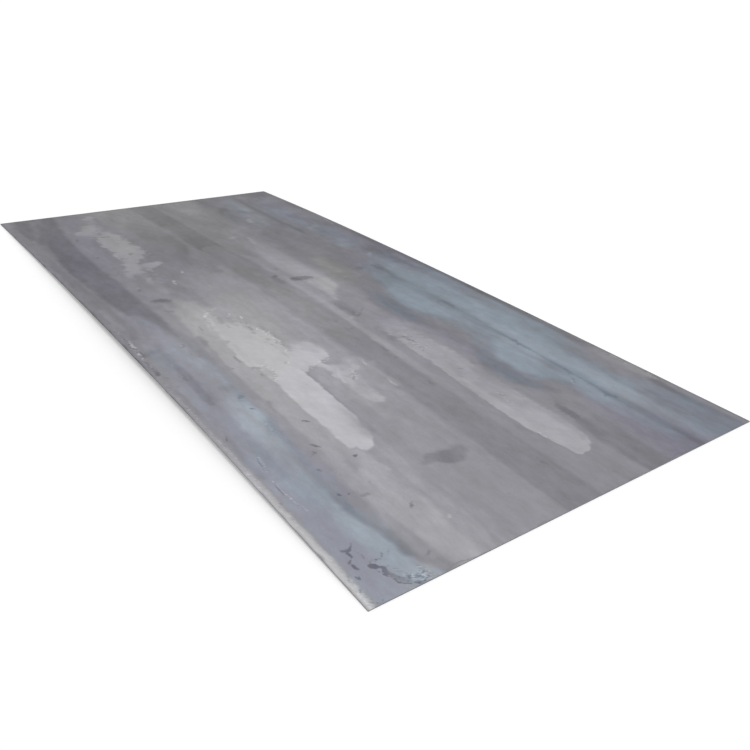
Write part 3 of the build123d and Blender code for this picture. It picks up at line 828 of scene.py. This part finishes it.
    ((1120, -556, 1, 2, 134), (1130, -552, 1, 2, 134), (1138, -553, 1.5, 2, 126), (1145, -555, 1, 2, 132)),
    ((1192, -522, 1, 2, 145), (1197, -515, 1, 2, 147)),
    ((1200, -524, 1, 2, 143), (1207, -510, 1, 2, 147)),
    ((1222, -470, 1, 2, 138), (1229, -480, 1.5, 2, 132)),
    ((1230, -486, 1, 2, 132), (1234, -496, 1.5, 2, 130)),
    ((1242, -474, 1.5, 2, 130), (1244, -488, 1.5, 2, 124), (1243, -500, 1.5, 2, 128)),
    ((1218, -500, 1, 2, 134), (1224, -506, 1.5, 2, 130), (1230, -510, 1.5, 2, 130)),
    ((1226, -494, 1, 2, 136), (1232, -502, 1, 2, 132)),
    ((1238, -464, 1, 2, 138), (1243, -466, 1, 2, 136)),
    ((1217, -476, 1, 2, 136), (1221, -483, 1.5, 2, 128)),
    ((1221, -502, 1.5, 2, 130), (1227, -508, 1.5, 2, 128)),
    ((1236, -484, 1, 2, 132), (1238, -492, 1, 2, 130)),
    ((1245, -482, 1.5, 2.5, 124), (1247, -496, 1.5, 2.5, 124)),
    ((1228, -475, 1, 2, 132), (1233, -470, 1, 2, 134)),
    ((1149, -502, 1, 2, 138), (1151, -505, 1, 2, 138)),
    ((1154, -549, 1.5, 2, 132), (1158, -551, 1, 2, 136)),
    ((1166, -605, 1.5, 2.5, 150), (1174, -612, 1.5, 2.5, 146)),
    ((1212, -603, 1.5, 2.5, 156), (1222, -604, 1.5, 2.5, 158)),
    ((1244, -586, 1.5, 2, 112), (1246, -587, 1.5, 2, 112)),
    ((1240, -606, 1, 2.5, 150), (1244, -598, 1, 2.5, 142)),
    ((1200, -604, 1.5, 2.5, 158), (1210, -610, 1.5, 2.5, 150)),
    # specks on the light streak towards the near end
    ((1192, -429, 2, 6, 134), (1197, -438, 3, 6, 128), (1198, -446, 2, 6, 138)),
    ((1060, -366, 2, 6, 134), (1068, -373, 4, 5, 123), (1075, -377, 2, 5, 135)),
    ((1132, -326, 4, 6, 173), (1137, -329, 3, 5, 173)),
    ((961, -402, 2.5, 5, 147), (964, -403, 2.5, 5, 147)),
    # scratches in front of the blue field
    ((766, -566, 1.5, 2, 168), (790, -568, 1.5, 2, 172), (806, -572, 1, 2, 166)),
    ((772, -573, 1, 2, 128), (790, -575, 1.5, 2, 122), (818, -579, 1, 2, 128)),
    ((856, -583, 1.5, 2, 178), (876, -583, 0.5, 2, 166), (905, -582, 1.5, 2, 174), (940, -578, 1, 2, 168),
     (976, -570, 1, 2, 164)),
    ((866, -587, 1, 2, 126), (890, -586, 1.5, 2, 120), (912, -587, 1, 2, 126)),
    # specks in front of the bright patch
    ((849, -347, 2, 3, 199), (853, -340, 2, 3, 197)),
    ((866, -366, 2, 3, 118), (869, -374, 4, 3, 114)),
    ((687, -397, 2.5, 3, 118), (696, -385, 2.5, 3, 118)),
    ((783, -436, 2.5, 4, 124), (792, -430, 4.5, 4, 119), (798, -422, 2.5, 4, 124)),
    ((806, -450, 2, 4, 132), (814, -444, 3, 3.5, 122), (822, -462, 2, 4, 138)),
    ((372, -423, 2, 3, 122), (378, -416, 2.5, 3, 119)),
    # marks on the blue field
    ((578, -480, 3, 3.5, 118), (584, -473, 3, 3.5, 119)),
    ((664, -468, 1.5, 3, 148), (672, -474, 1.5, 3, 146)),
    ((686, -474, 2, 3, 140), (694, -480, 2, 3, 141)),
    ((680, -490, 1.5, 3, 146), (690, -494, 1.5, 3, 147)),
    ((655, -480, 2, 3.5, 171), (662, -492, 2, 3.5, 173)),
    ((706, -497, 2, 3, 170), (712, -500, 2, 3, 168)),
    ((508, -474, 2, 4, 130), (518, -468, 3.5, 4, 126), (522, -482, 2.5, 4, 130)),
    ((527, -478, 2, 3.5, 162), (536, -472, 2, 3.5, 162)),
    ((963, -486, 3, 2.5, 106), (967, -485, 3, 2.5, 106)),
    ((972, -464, 2, 2.5, 112), (975, -466, 2, 2.5, 112)),
    ((870, -475, 3, 5, 126), (877, -473, 3, 5, 126)),
    ((990, -444, 4, 6, 140), (993, -430, 4, 6, 140)),
    ((180, -474, 2, 3.5, 128), (190, -478, 3, 4, 124), (197, -486, 2.5, 4, 128)),
    ((184, -484, 2, 3.5, 166), (194, -470, 2, 3.5, 164)),
    ((266, -460, 2.5, 5, 134), (272, -468, 2.5, 5, 134)),
    ((240, -478, 2, 5, 138), (250, -482, 2, 5, 138)),
    # marks between the blue field and the margin
    ((276, -552, 1.5, 3, 155), (290, -555, 1.5, 3, 155)),
    ((392, -584, 2, 4, 136), (398, -594, 2, 4, 136)),
    ((336, -600, 3, 4, 131), (344, -594, 3, 4, 133)),
    ((362, -556, 5, 5, 124), (378, -555, 4, 5, 126)),
    # flakes along the front margin
    ((92, -600, 3, 4, 158), (118, -603, 4, 3.5, 168), (140, -600, 4, 3.5, 178)),
    ((178, -608, 4, 3, 178), (186, -604, 4, 3, 172)),
    ((206, -606, 2.5, 3, 174), (216, -611, 2.5, 3, 158)),
    ((166, -598, 3, 3.5, 116), (196, -600, 3, 3.5, 112)),
    ((302, -604, 4, 3.5, 116), (318, -609, 5, 3.5, 112)),
    ((240, -602, 2.5, 3.5, 130), (260, -606, 2.5, 3.5, 152)),
    # a scratch behind them
    ((350, -559, 1.5, 3, 150), (368, -570, 1.5, 3, 148)),
    # specks beyond the middle
    ((-884, -427, 4, 6, 103), (-862, -432, 4, 5, 103)),
    ((-640, -430, 5, 7, 112), (-628, -438, 5, 7, 112)),
    ((-584, -249, 4, 5, 108), (-576, -252, 4, 5, 110)),
    ((-288, -420, 3, 5, 146), (-274, -428, 3, 5, 144)),
    ((-264, -424, 5, 6, 113), (-254, -428, 5, 6, 115)),
    # a dark nick beside the front margin
    ((658, -590, 2, 3, 119), (678, -597, 2, 3, 121)),
    # specks on the middle band
    ((456, 26, 5, 6, 125), (484, 24, 5, 6, 126)),
    ((528, 22, 4, 6, 124), (536, 24, 4, 6, 124)),
    ((680, 10, 4, 6, 124), (704, 8, 4, 6, 126)),
    ((1100, -4, 5, 7, 122), (1112, -2, 4, 7, 124)),
    # specks on the back margin
    ((-690, 606, 5, 7, 130), (-615, 598, 5, 7, 130)),
    ((-497, 610, 5, 7, 96), (-420, 610, 5, 7, 96)),
    ((200, 612, 6, 8, 92), (236, 610, 6, 8, 93)),
    ((820, 612, 3, 4, 158), (836, 614, 3, 4, 157)),
    ((880, 606, 3, 4, 156), (896, 610, 3, 4, 158)),
    ((930, 615, 3, 4, 116), (944, 614, 3, 4, 118)),
    ((975, 606, 3, 4, 157), (984, 603, 3, 4, 155)),
)

# Where the scale is crazed into small flakes, from 0 to 1; each flake there gets a painted lit side and a
# painted shaded side
CRAZED_STROKES = (
    ((1216, -474, 9, 8, 0.75), (1236, -478, 13, 7, 0.9), (1236, -498, 14, 7, 1.0), (1224, -512, 11, 7, 0.9)),
    ((420, 136, 10, 10, 0.6), (470, 132, 14, 8, 0.7), (530, 130, 10, 10, 0.6)),
    ((655, 142, 6, 8, 0.5), (675, 146, 6, 8, 0.5)),
    ((815, 136, 12, 10, 0.5), (870, 132, 12, 10, 0.5)),
    ((60, -270, 10, 12, 0.5), (150, -250, 10, 10, 0.6), (200, -226, 9, 8, 0.7), (300, -226, 9, 8, 0.8),
     (360, -240, 8, 8, 0.6)),
    ((385, -356, 6, 6, 0.7), (410, -334, 7, 6, 0.8), (450, -334, 9, 7, 0.7), (486, -350, 6, 6, 0.7)),
    ((442, -150, 6, 6, 0.7), (454, -186, 8, 6, 0.8), (470, -225, 8, 7, 0.7)),
    ((-20, -300, 12, 12, 0.5), (60, -340, 14, 12, 0.6), (120, -358, 8, 8, 0.6)),
    ((664, -476, 7, 8, 0.5), (696, -486, 9, 8, 0.6)),
    ((770, -571, 6, 4, 0.6), (830, -576, 5, 4, 0.5)),
    ((850, -583, 4, 4, 0.6), (940, -580, 4, 4, 0.6), (975, -572, 3, 4, 0.4)),
    ((-40, -612, 8, 5, 0.4), (80, -606, 9, 5, 0.75), (240, -607, 9, 5, 0.75), (340, -612, 8, 5, 0.5),
     (700, -614, 8, 5, 0.46), (1000, -613, 9, 5, 0.38), (1160, -611, 10, 5, 0.42), (1250, -610, 11, 5, 0.55)),
    ((500, -116, 10, 8, 0.5), (545, -142, 12, 8, 0.9), (578, -160, 10, 8, 0.8)),
    ((700, 608, 10, 8, 0.5), (1000, 608, 10, 8, 0.6)),
)

WHITE_TONE = 255.0

# Values where no stroke lies
PLAIN_CAST = 0.5
PLAIN_FRAY = 0.12
PLAIN_PATCH_TONE = 165.0
PLAIN_SPOT_TONE = 120.0

# Sides and underside, which have no strokes
SIDE_TONE = 84.0  # thick dark scale on the rounded long sides, darkened further as painted shade of the side faces
NEAR_SIDE_TONE = 140.0  # the same sides, lighter towards the near end
SIDE_BRIGHTENS = (100.0, 900.0)  # where along the length that begins and ends
UNDERSIDE_TONE = 132.0
STREAK_HILLS = (900.0, 60.0, 51)  # long soft streaks on the underside
STREAK_TONE = 12.0  # grey levels that they are lighter or darker by
STREAK_FILM = (0.2, 1.0)  # heights of the streaks between which a blue film comes up

# Extra cloudiness of the far half
FAR_CLOUD_TONE = 4.0  # in grey levels
FAR_CLOUD_HILLS = (120.0, 55.0, 101)
FAR_CLOUDS_GROW = (500.0, -700.0)  # where along the length they begin and are full

# Teeth that pull out the edges of bands and of rubbed patches: their hills, and how far they reach in mm
TEETH_HILLS = (90.0, 22.0, 111)
TONE_TEETH = 3.0
RUBBED_TEETH = 14.0
LEAST_FRAY = 0.05  # share of the teeth on an edge that isn't frayed

# Hills that push places about, along and across, before strokes are laid there: how far in mm, cells and seed
BAND_PUSH = ((10.0, 70.0, 45.0, 31), (2.0, 60.0, 40.0, 41))
PATCH_PUSH = ((3.0, 34.0, 24.0, 61), (2.0, 30.0, 20.0, 71))
SPOT_PUSH = ((1.2, 16.0, 12.0, 81), (1.2, 16.0, 12.0, 91))


def pushed(x, y, push, pull, wiped):
    """Places pushed about by rough hills, along and across, and pulled along the wiped direction."""
    (far_x, *hills_x), (far_y, *hills_y) = push
    new_x = x + far_x * rough_hills(x, y, *hills_x) + pull * wiped[0]
    new_y = y + far_y * rough_hills(x, y, *hills_y) + pull * wiped[1]
    return new_x, new_y


def skin_fields(vertices, on_top):
    """What the finish needs to know at each vertex, by name.

    On the top each field has its strokes laid over its plain value. Most places are first pushed about by
    rough hills, so that no edge of a stroke is drawn smooth. The outermost part of the long sides has a tone
    of its own, and what is left is underside, with long soft streaks."""
    x, y = vertices[:, 0], vertices[:, 1]
    wiped = math.cos(math.radians(WIPED_TURN)), math.sin(math.radians(WIPED_TURN))
    teeth = rough_hills(x * wiped[0] + y * wiped[1], y * wiped[0] - x * wiped[1], *TEETH_HILLS)
    band_x, band_y = pushed(x, y, BAND_PUSH, TONE_TEETH * teeth, wiped)
    soft_streaks = rough_hills(x, y, *STREAK_HILLS)
    tone = paint(np.interp(x, GROUND_X, GROUND_TONE), band_x, band_y, TONE_STROKES)
    tone += FAR_CLOUD_TONE * smooth(*FAR_CLOUDS_GROW, x) * rough_hills(x, y, *FAR_CLOUD_HILLS)
    film = paint(np.zeros_like(x), band_x, band_y, FILM_STROKES)
    cast = paint(np.full_like(x, PLAIN_CAST), band_x, band_y, CAST_STROKES)
    frayed = paint(np.full_like(x, PLAIN_FRAY), x, y, FRAYED_STROKES)
    patch_x, patch_y = pushed(x, y, PATCH_PUSH, RUBBED_TEETH * (LEAST_FRAY + frayed) * teeth, wiped)
    rubbed, rubbed_tone = marks(patch_x, patch_y, RUBBED_STROKES, PLAIN_PATCH_TONE)
    rubbed_tone = paint(rubbed_tone, patch_x, patch_y, SHADE_STROKES)
    kept = marks(patch_x, patch_y, KEPT_STROKES, 0.0)[0]
    rubbed = np.minimum(rubbed, -kept)
    spot_x, spot_y = pushed(x, y, SPOT_PUSH, 0.0, wiped)
    spot, spot_tone = marks(spot_x, spot_y, SPOT_STROKES, PLAIN_SPOT_TONE)
    crazed = paint(np.zeros_like(x), x, y, CRAZED_STROKES)
    top = on_top > 0.5
    side = np.abs(y) > WIDTH / 2 - NOSE_RADIUS
    # long sides: dark scale with painted shade, lighter towards the near end
    side_tone = SIDE_TONE + (NEAR_SIDE_TONE - SIDE_TONE) * smooth(*SIDE_BRIGHTENS, x)
    other_tone = np.where(side, side_tone, UNDERSIDE_TONE + STREAK_TONE * soft_streaks)
    other_film = np.where(side, 0.0, smooth(*STREAK_FILM, soft_streaks))
    return {
        "tone": np.where(top, tone, other_tone) / WHITE_TONE,
        "film": np.where(top, film, other_film),
        "cast": np.where(top, cast, PLAIN_CAST),
        "rubbed": np.where(top, rubbed, -LEVEL_RANGE),
        "rubbed_tone": rubbed_tone / WHITE_TONE,
        "frayed": frayed,
        "spot": np.where(top, spot, -LEVEL_RANGE),
        "spot_tone": spot_tone / WHITE_TONE,
        "crazed": np.where(top, crazed, 0.0),
    }


def linear(colour):
    """Linear red, green, blue and alpha of an sRGB colour written as #RRGGBB, by the sRGB curve."""
    channels = [int(colour[place:place + 2], 16) / WHITE_TONE for place in (1, 3, 5)]
    return [c / 12.92 if c <= 0.04045 else ((c + 0.055) / 1.055) ** 2.4 for c in channels] + [1.0]


def add(tree, kind, inputs, out=0, stops=(), **settings):
    """Adds a node and gives one of its outputs, by number or name.

    Inputs are numbers or other nodes' outputs, by socket number or name. Settings are the node's own
    properties, and stops are the places and colours of a ramp."""
    node = tree.nodes.new("ShaderNode" + kind)
    for name, value in settings.items():
        setattr(node, name, value)
    for place, colour in stops:
        if 0.0 < place < 1.0:
            node.color_ramp.elements.new(place).color = linear(colour)
        else:
            node.color_ramp.elements[0 if place == 0.0 else -1].color = linear(colour)
    for name, value in inputs.items():
        if isinstance(value, bpy.types.NodeSocket):
            tree.links.new(value, node.inputs[name])
        else:
            node.inputs[name].default_value = value
    return node.outputs[out] if len(node.outputs) else None


def new_material(name):
    """A material with an empty node tree."""
    material = bpy.data.materials.new(name)
    material.use_nodes = True
    material.node_tree.nodes.clear()
    return material, material.node_tree


def new_object(name, data):
    """An object that holds the data, put into the scene."""
    thing = bpy.data.objects.new(name, data)
    bpy.context.scene.collection.objects.link(thing)
    return thing


# Noise patterns of the scale: their length and width in mm, the turn of the length from the rolling direction
# in degrees, and the detail and roughness of the noise
PATTERNS = {
    "streaks": (900.0, 30.0, 0.0, 3.0, 0.55),  # rolling streaks, about 30 mm wide
    "fine_streaks": (260.0, 6.0, 0.0, 2.0, 0.55),  # narrow streaks between them
    "clouds": (170.0, 75.0, 0.0, 5.0, 0.6),  # slow clouding of the oxide
    "mottle": (40.0, 22.0, 0.0, 4.0, 0.6),  # smaller clouds in those
    "speckle": (7.0, 5.0, 0.0, 3.0, 0.55),  # fine mottling, drawn coarse enough to show
    "torn": (60.0, 36.0, 0.0, 5.0, 0.65),  # tears the edges of the rubbed patches
    "fray": (46.0, 12.0, WIPED_TURN, 5.0, 0.66),  # frays them across the rolling direction
    "flake_edge": (10.0, 6.0, WIPED_TURN, 3.0, 0.62),  # breaks up the edges of patches, stains and flakes
    "flakes": (10.0, 4.0, WIPED_TURN, 3.0, 0.62),  # painted lit and shaded sides of small lifted flakes, which are also their bump
    "pits": (17.0, 13.0, 0.0, 2.0, 0.5),  # rolled-in grit
}
NOISE_MEAN = 0.5  # taken off, so that a pattern lies about zero

# How much of each pattern is added to each field, so that nothing is even
UNEVENNESS = {
    "tone": {"streaks": 0.04, "fine_streaks": 0.01, "clouds": 0.12, "mottle": 0.085, "speckle": 0.03},
    "rubbed": {"torn": 1.2, "fray": 1.0, "flake_edge": 0.7},
    "rubbed_tone": {"clouds": 0.09, "streaks": 0.04, "torn": 0.09, "fray": 0.04, "speckle": 0.02},
    "spot": {"flake_edge": 2.2},
    "spot_tone": {"speckle": 0.06},
    "crazed": {"flake_edge": 1.4},
    "film": {"clouds": 1.1, "mottle": 0.7, "streaks": 0.3},
    "cast": {"clouds": 0.5, "mottle": 0.3},
    "frayed": {},
}

# What the scale makes of its fields. A step is the pair of values between which a mark comes up.
PIT_STEP = (0.2, 0.3)
PIT_TONE = -0.03
FRAYED_BY = {"torn": 3.0, "fray": 5.0}  # how far each pattern moves the edge of a frayed patch
RUBBED_STEP = (-0.7, 0.8)
SPOT_STEP = (-0.7, 0.7)
CRAZED_STEP = (0.25, 0.75)
# painted light and shade on the two sides of each small flake
FLAKE_SHADING_TONE = 0.55
FILM_STEP = (0.0, 0.25)

# How rough and how raised the scale is, and what its patterns and marks add to that
ROUGHNESS = 0.5
STREAK_ROUGHNESS = 0.12
RUBBED_ROUGHNESS = 0.12
FILM_ROUGHNESS = -0.08
FINE_STREAK_HEIGHT = 0.2
SPECKLE_HEIGHT = 0.5
RUBBED_HEIGHT = -0.25
SCALE_BUMP = {"Strength": 0.35, "Distance": 0.4 * MM}
SCALE_SURFACE = {"Metallic": 0.7, "Specular IOR Level": 0.0}

# The three colours of the scale, from dark to light
PLAIN_GREY = ((0.0, "#000000"), (0.35, "#595958"), (0.5, "#808080"), (0.6, "#999999"), (0.75, "#BFBFBF"),
              (1.0, "#FFFFFF"))
VIOLET_GREY = ((0.0, "#000000"), (0.35, "#575560"), (0.5, "#7D7B87"), (0.6, "#9694A0"), (0.75, "#BCBBC5"),
               (1.0, "#FFFFFF"))
TEMPER_BLUE = ((0.0, "#000000"), (0.35, "#505963"), (0.5, "#74808B"), (0.6, "#8D99A5"), (0.75, "#B3C0CA"),
               (1.0, "#FFFFFF"))

# Sheared ends
SCORE_CELLS = (100.0, 900.0, 60.0)  # cells in a metre: scores about 1 mm apart across the plate, and upright
SCORE_DETAIL = 3.0
SHEARED_GREY = ((0.0, "#5E5D62"), (0.5, "#77767B"), (1.0, "#97969A"))
SHEARED_BUMP = {"Strength": 0.4, "Distance": 0.3 * MM}
SHEARED_SURFACE = {"Metallic": 0.5, "Roughness": 0.48}


def mill_scale_finish():
    """Mill scale on hot-rolled steel: a thin skin of iron oxide, pressed smooth by the rolls.

    To the eye it is a half-matt grey with long streaks along the rolling direction, blue where a thin film
    tempers the steel, and pale and dull where the skin is rubbed."""
    material, tree = new_material("mill_scale_on_hot_rolled_steel")
    place = add(tree, "TexCoord", {}, out="Object")
    pattern = {}
    for name, (length, width, turn, detail, roughness) in PATTERNS.items():
        size = (length * MM, width * MM, width * MM)
        turned = (0.0, 0.0, math.radians(turn))
        mapping = {"Vector": place, "Rotation": turned, "Scale": size}
        cells = add(tree, "Mapping", mapping, vector_type="TEXTURE")
        grain = {"Vector": cells, "Scale": 1.0, "Detail": detail, "Roughness": roughness}
        noise = add(tree, "TexNoise", grain)
        pattern[name] = add(tree, "Math", {0: noise, 1: NOISE_MEAN}, operation="SUBTRACT")
    field = {}
    for name, shares in UNEVENNESS.items():
        value = add(tree, "Attribute", {}, out="Fac", attribute_name=name)
        for source, share in shares.items():
            value = add(tree, "Math", {0: pattern[source], 1: share, 2: value}, operation="MULTIPLY_ADD")
        field[name] = value

    # pits of rolled-in grit darken the scale
    low, high = PIT_STEP
    pits = add(tree, "MapRange", {0: pattern["pits"], 1: low, 2: high}, interpolation_type="SMOOTHSTEP")
    tone = add(tree, "Math", {0: pits, 1: PIT_TONE, 2: field["tone"]}, operation="MULTIPLY_ADD")

    # rubbed patches, with their frayed edges
    wild = 0.0
    for source, share in FRAYED_BY.items():
        wild = add(tree, "Math", {0: pattern[source], 1: share, 2: wild}, operation="MULTIPLY_ADD")
    level = add(tree, "Math", {0: wild, 1: field["frayed"], 2: field["rubbed"]}, operation="MULTIPLY_ADD")
    low, high = RUBBED_STEP
    rubbed = add(tree, "MapRange", {0: level, 1: low, 2: high}, interpolation_type="SMOOTHSTEP")
    tone = add(tree, "Mix", {0: rubbed, 2: tone, 3: field["rubbed_tone"]}, data_type="FLOAT")

    # spots, and crazed places where each small flake has a painted lit side and a painted shaded side,
    # besides its bump
    low, high = SPOT_STEP
    spot = add(tree, "MapRange", {0: field["spot"], 1: low, 2: high}, interpolation_type="SMOOTHSTEP")
    tone = add(tree, "Mix", {0: spot, 2: tone, 3: field["spot_tone"]}, data_type="FLOAT")
    low, high = CRAZED_STEP
    broken = add(tree, "MapRange", {0: field["crazed"], 1: low, 2: high}, interpolation_type="SMOOTHSTEP")
    flakes = add(tree, "Math", {0: pattern["flakes"], 1: broken}, operation="MULTIPLY")
    tone = add(tree, "Math", {0: flakes, 1: FLAKE_SHADING_TONE, 2: tone}, operation="MULTIPLY_ADD")

    # the temper film lies only inside its strokes, and where the scale isn't rubbed
    whole = add(tree, "Math", {0: 1.0, 1: rubbed}, operation="SUBTRACT")
    film = add(tree, "Math", {0: field["film"], 1: whole}, operation="MULTIPLY", use_clamp=True)
    low, high = FILM_STEP
    inside = add(tree, "Attribute", {}, out="Fac", attribute_name="film")
    inside = add(tree, "MapRange", {0: inside, 1: low, 2: high}, interpolation_type="SMOOTHSTEP")
    film = add(tree, "Math", {0: film, 1: inside}, operation="MULTIPLY")

    grey, violet, blue = (
        add(tree, "ValToRGB", {0: tone}, stops=stops) for stops in (PLAIN_GREY, VIOLET_GREY, TEMPER_BLUE))
    colour = add(tree, "Mix", {0: field["cast"], 6: grey, 7: violet}, out=2, data_type="RGBA")
    colour = add(tree, "Mix", {0: film, 6: colour, 7: blue}, out=2, data_type="RGBA")

    rougher = (
        (pattern["streaks"], STREAK_ROUGHNESS),
        (rubbed, RUBBED_ROUGHNESS),
        (film, FILM_ROUGHNESS),
    )
    roughness = ROUGHNESS
    for source, share in rougher:
        roughness = add(tree, "Math", {0: source, 1: share, 2: roughness}, operation="MULTIPLY_ADD")

    raised = (
        (pattern["fine_streaks"], FINE_STREAK_HEIGHT),
        (pattern["speckle"], SPECKLE_HEIGHT),
        (rubbed, RUBBED_HEIGHT),
    )
    height = flakes
    for source, share in raised:
        height = add(tree, "Math", {0: source, 1: share, 2: height}, operation="MULTIPLY_ADD")
    bump = add(tree, "Bump", {**SCALE_BUMP, "Height": height})
    inputs = {**SCALE_SURFACE, "Base Color": colour, "Roughness": roughness, "Normal": bump}
    add(tree, "OutputMaterial", {"Surface": add(tree, "BsdfPrincipled", inputs)})
    return material


def sheared_finish():
    """Steel as the shear left it on the plate's ends.

    To the eye it is grey and dull, with fine upright score marks from the blade."""
    material, tree = new_material("sheared_steel_end")
    place = add(tree, "TexCoord", {}, out="Object")
    lines = add(tree, "Mapping", {"Vector": place, "Scale": SCORE_CELLS})
    score = add(tree, "TexNoise", {"Vector": lines, "Scale": 1.0, "Detail": SCORE_DETAIL})
    colour = add(tree, "ValToRGB", {0: score}, stops=SHEARED_GREY)
    bump = add(tree, "Bump", {**SHEARED_BUMP, "Height": score})
    inputs = {**SHEARED_SURFACE, "Base Color": colour, "Normal": bump}
    add(tree, "OutputMaterial", {"Surface": add(tree, "BsdfPrincipled", inputs)})
    return material


def plate_object():
    """The plate's skin as a mesh object, with its fields as attributes and its two finishes."""
    vertices, quads, ends, on_top = plate_skin()
    mesh = bpy.data.meshes.new("rolled_plate")
    mesh.from_pydata((vertices * MM).tolist(), [], quads.tolist() + [end.tolist() for end in ends])
    mesh.materials.append(mill_scale_finish())
    mesh.materials.append(sheared_finish())
    finish = np.zeros(len(mesh.polygons), dtype=np.int32)
    finish[len(quads):] = 1
    mesh.polygons.foreach_set("material_index", finish)
    mesh.polygons.foreach_set("use_smooth", finish == 0)
    for name, values in skin_fields(vertices, on_top).items():
        mesh.attributes.new(name, "FLOAT", "POINT").data.foreach_set("value", values.astype(np.float32))
    mesh.update()
    mesh.validate()
    return new_object("rolled_plate", mesh)


# Camera: where the photograph was taken from
CAMERA_PLACE = (1.9807, -1.2679, 0.9829)  # metres
CAMERA_AZIMUTH = 54.01  # degrees, from looking along +Y
CAMERA_ELEVATION = 28.15
CAMERA_ROLL = 3.07
FOCAL_PIXELS = 755.4
CENTRE_PIXEL = 328.2  # the column that the lens looks straight at
IMAGE_PIXELS = 750.0
SENSOR = 36.0  # mm across

# Light: an even surrounding and one soft sun from the camera's side. With the little that the steel mirrors
# of the sun, they show a colour as written.
WHITE = "#FFFFFF"
SURROUND = 0.6
SUN_LEVEL = 0.37
SUN_AZIMUTH = 40.0
SUN_ELEVATION = 68.0
SUN_SPREAD = 24.0  # degrees across, which softens the shadow
SUN_DISTANCE = 5.0  # metres
FLOOR_SIDE = 240.0  # metres
FLOOR_COLOUR = "#E7E7E7"
FLOOR_GLOW = 0.24  # brings the lit floor to white for the camera and for reflections


def towards(azimuth, elevation):
    """Unit vector from the middle of the plate towards a viewer at that azimuth and elevation, in degrees."""
    turn, tilt = math.radians(azimuth), math.radians(elevation)
    return np.array([math.sin(turn) * math.cos(tilt), -math.cos(turn) * math.cos(tilt), math.sin(tilt)])


def axes_for(back, roll):
    """Columns right, up and back of something that looks along -back, rolled by an angle in degrees."""
    right = np.cross([0.0, 0.0, 1.0], back)
    right /= np.linalg.norm(right)
    up = np.cross(back, right)
    cosine, sine = math.cos(math.radians(roll)), math.sin(math.radians(roll))
    return np.stack([right * cosine + up * sine, up * cosine - right * sine, back], axis=1)


def place_at(thing, axes, place):
    """Puts an object at a place, with the columns of axes as its own axes."""
    matrix = np.eye(4)
    matrix[:3, :3] = axes
    matrix[:3, 3] = place
    thing.matrix_world = matrix.T


def add_camera():
    """The camera at the photograph's place, with its lens."""
    camera = bpy.data.cameras.new("camera")
    camera.sensor_width = SENSOR
    camera.lens = SENSOR * FOCAL_PIXELS / IMAGE_PIXELS
    camera.shift_x = (IMAGE_PIXELS / 2 - CENTRE_PIXEL) / IMAGE_PIXELS
    camera.clip_end = FLOOR_SIDE
    holder = new_object("camera", camera)
    place_at(holder, axes_for(towards(CAMERA_AZIMUTH, CAMERA_ELEVATION), CAMERA_ROLL), CAMERA_PLACE)
    bpy.context.scene.camera = holder


def seen_directly(tree):
    """1 for rays from the camera, from reflections and through glass, and 0 for light on surfaces."""
    seen = 0.0
    for ray in ("Is Camera Ray", "Is Glossy Ray", "Is Transmission Ray"):
        this_ray = add(tree, "LightPath", {}, out=ray)
        seen = add(tree, "Math", {0: seen, 1: this_ray}, operation="MAXIMUM")
    return seen


def add_light():
    """The even surrounding, which looks white, and the soft sun."""
    world = bpy.data.worlds.new("studio")
    world.use_nodes = True
    tree = world.node_tree
    tree.nodes.clear()
    soft = add(tree, "Background", {"Color": linear(WHITE), "Strength": SURROUND})
    white = add(tree, "Background", {"Color": linear(WHITE), "Strength": 1.0})
    mixed = add(tree, "MixShader", {0: seen_directly(tree), 1: soft, 2: white})
    add(tree, "OutputWorld", {"Surface": mixed})
    bpy.context.scene.world = world
    sun = bpy.data.lights.new("soft_sun", "SUN")
    back = towards(SUN_AZIMUTH, SUN_ELEVATION)
    sun.energy = SUN_LEVEL * math.pi / back[2]
    sun.angle = math.radians(SUN_SPREAD)
    place_at(new_object("soft_sun", sun), axes_for(back, 0.0), back * SUN_DISTANCE)


def add_floor():
    """A plain pale floor that keeps the shadow and looks white where it is lit."""
    half = FLOOR_SIDE / 2
    corners = [(-half, -half, 0), (half, -half, 0), (half, half, 0), (-half, half, 0)]
    mesh = bpy.data.meshes.new("floor")
    mesh.from_pydata(corners, [], [(0, 1, 2, 3)])
    material, tree = new_material("pale_studio_floor")
    matt = add(tree, "BsdfDiffuse", {"Color": linear(FLOOR_COLOUR)})
    glow_share = add(tree, "Math", {0: seen_directly(tree), 1: FLOOR_GLOW}, operation="MULTIPLY")
    glow = add(tree, "Emission", {"Color": linear(WHITE), "Strength": glow_share})
    both = add(tree, "AddShader", {0: matt, 1: glow})
    add(tree, "OutputMaterial", {"Surface": both})
    mesh.materials.append(material)
    floor = new_object("floor", mesh)


plate = plate_object()
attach(plate, "root")
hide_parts("steel_plate")

add_camera()
add_light()
add_floor()
bpy.context.scene.view_settings.view_transform = "Standard"
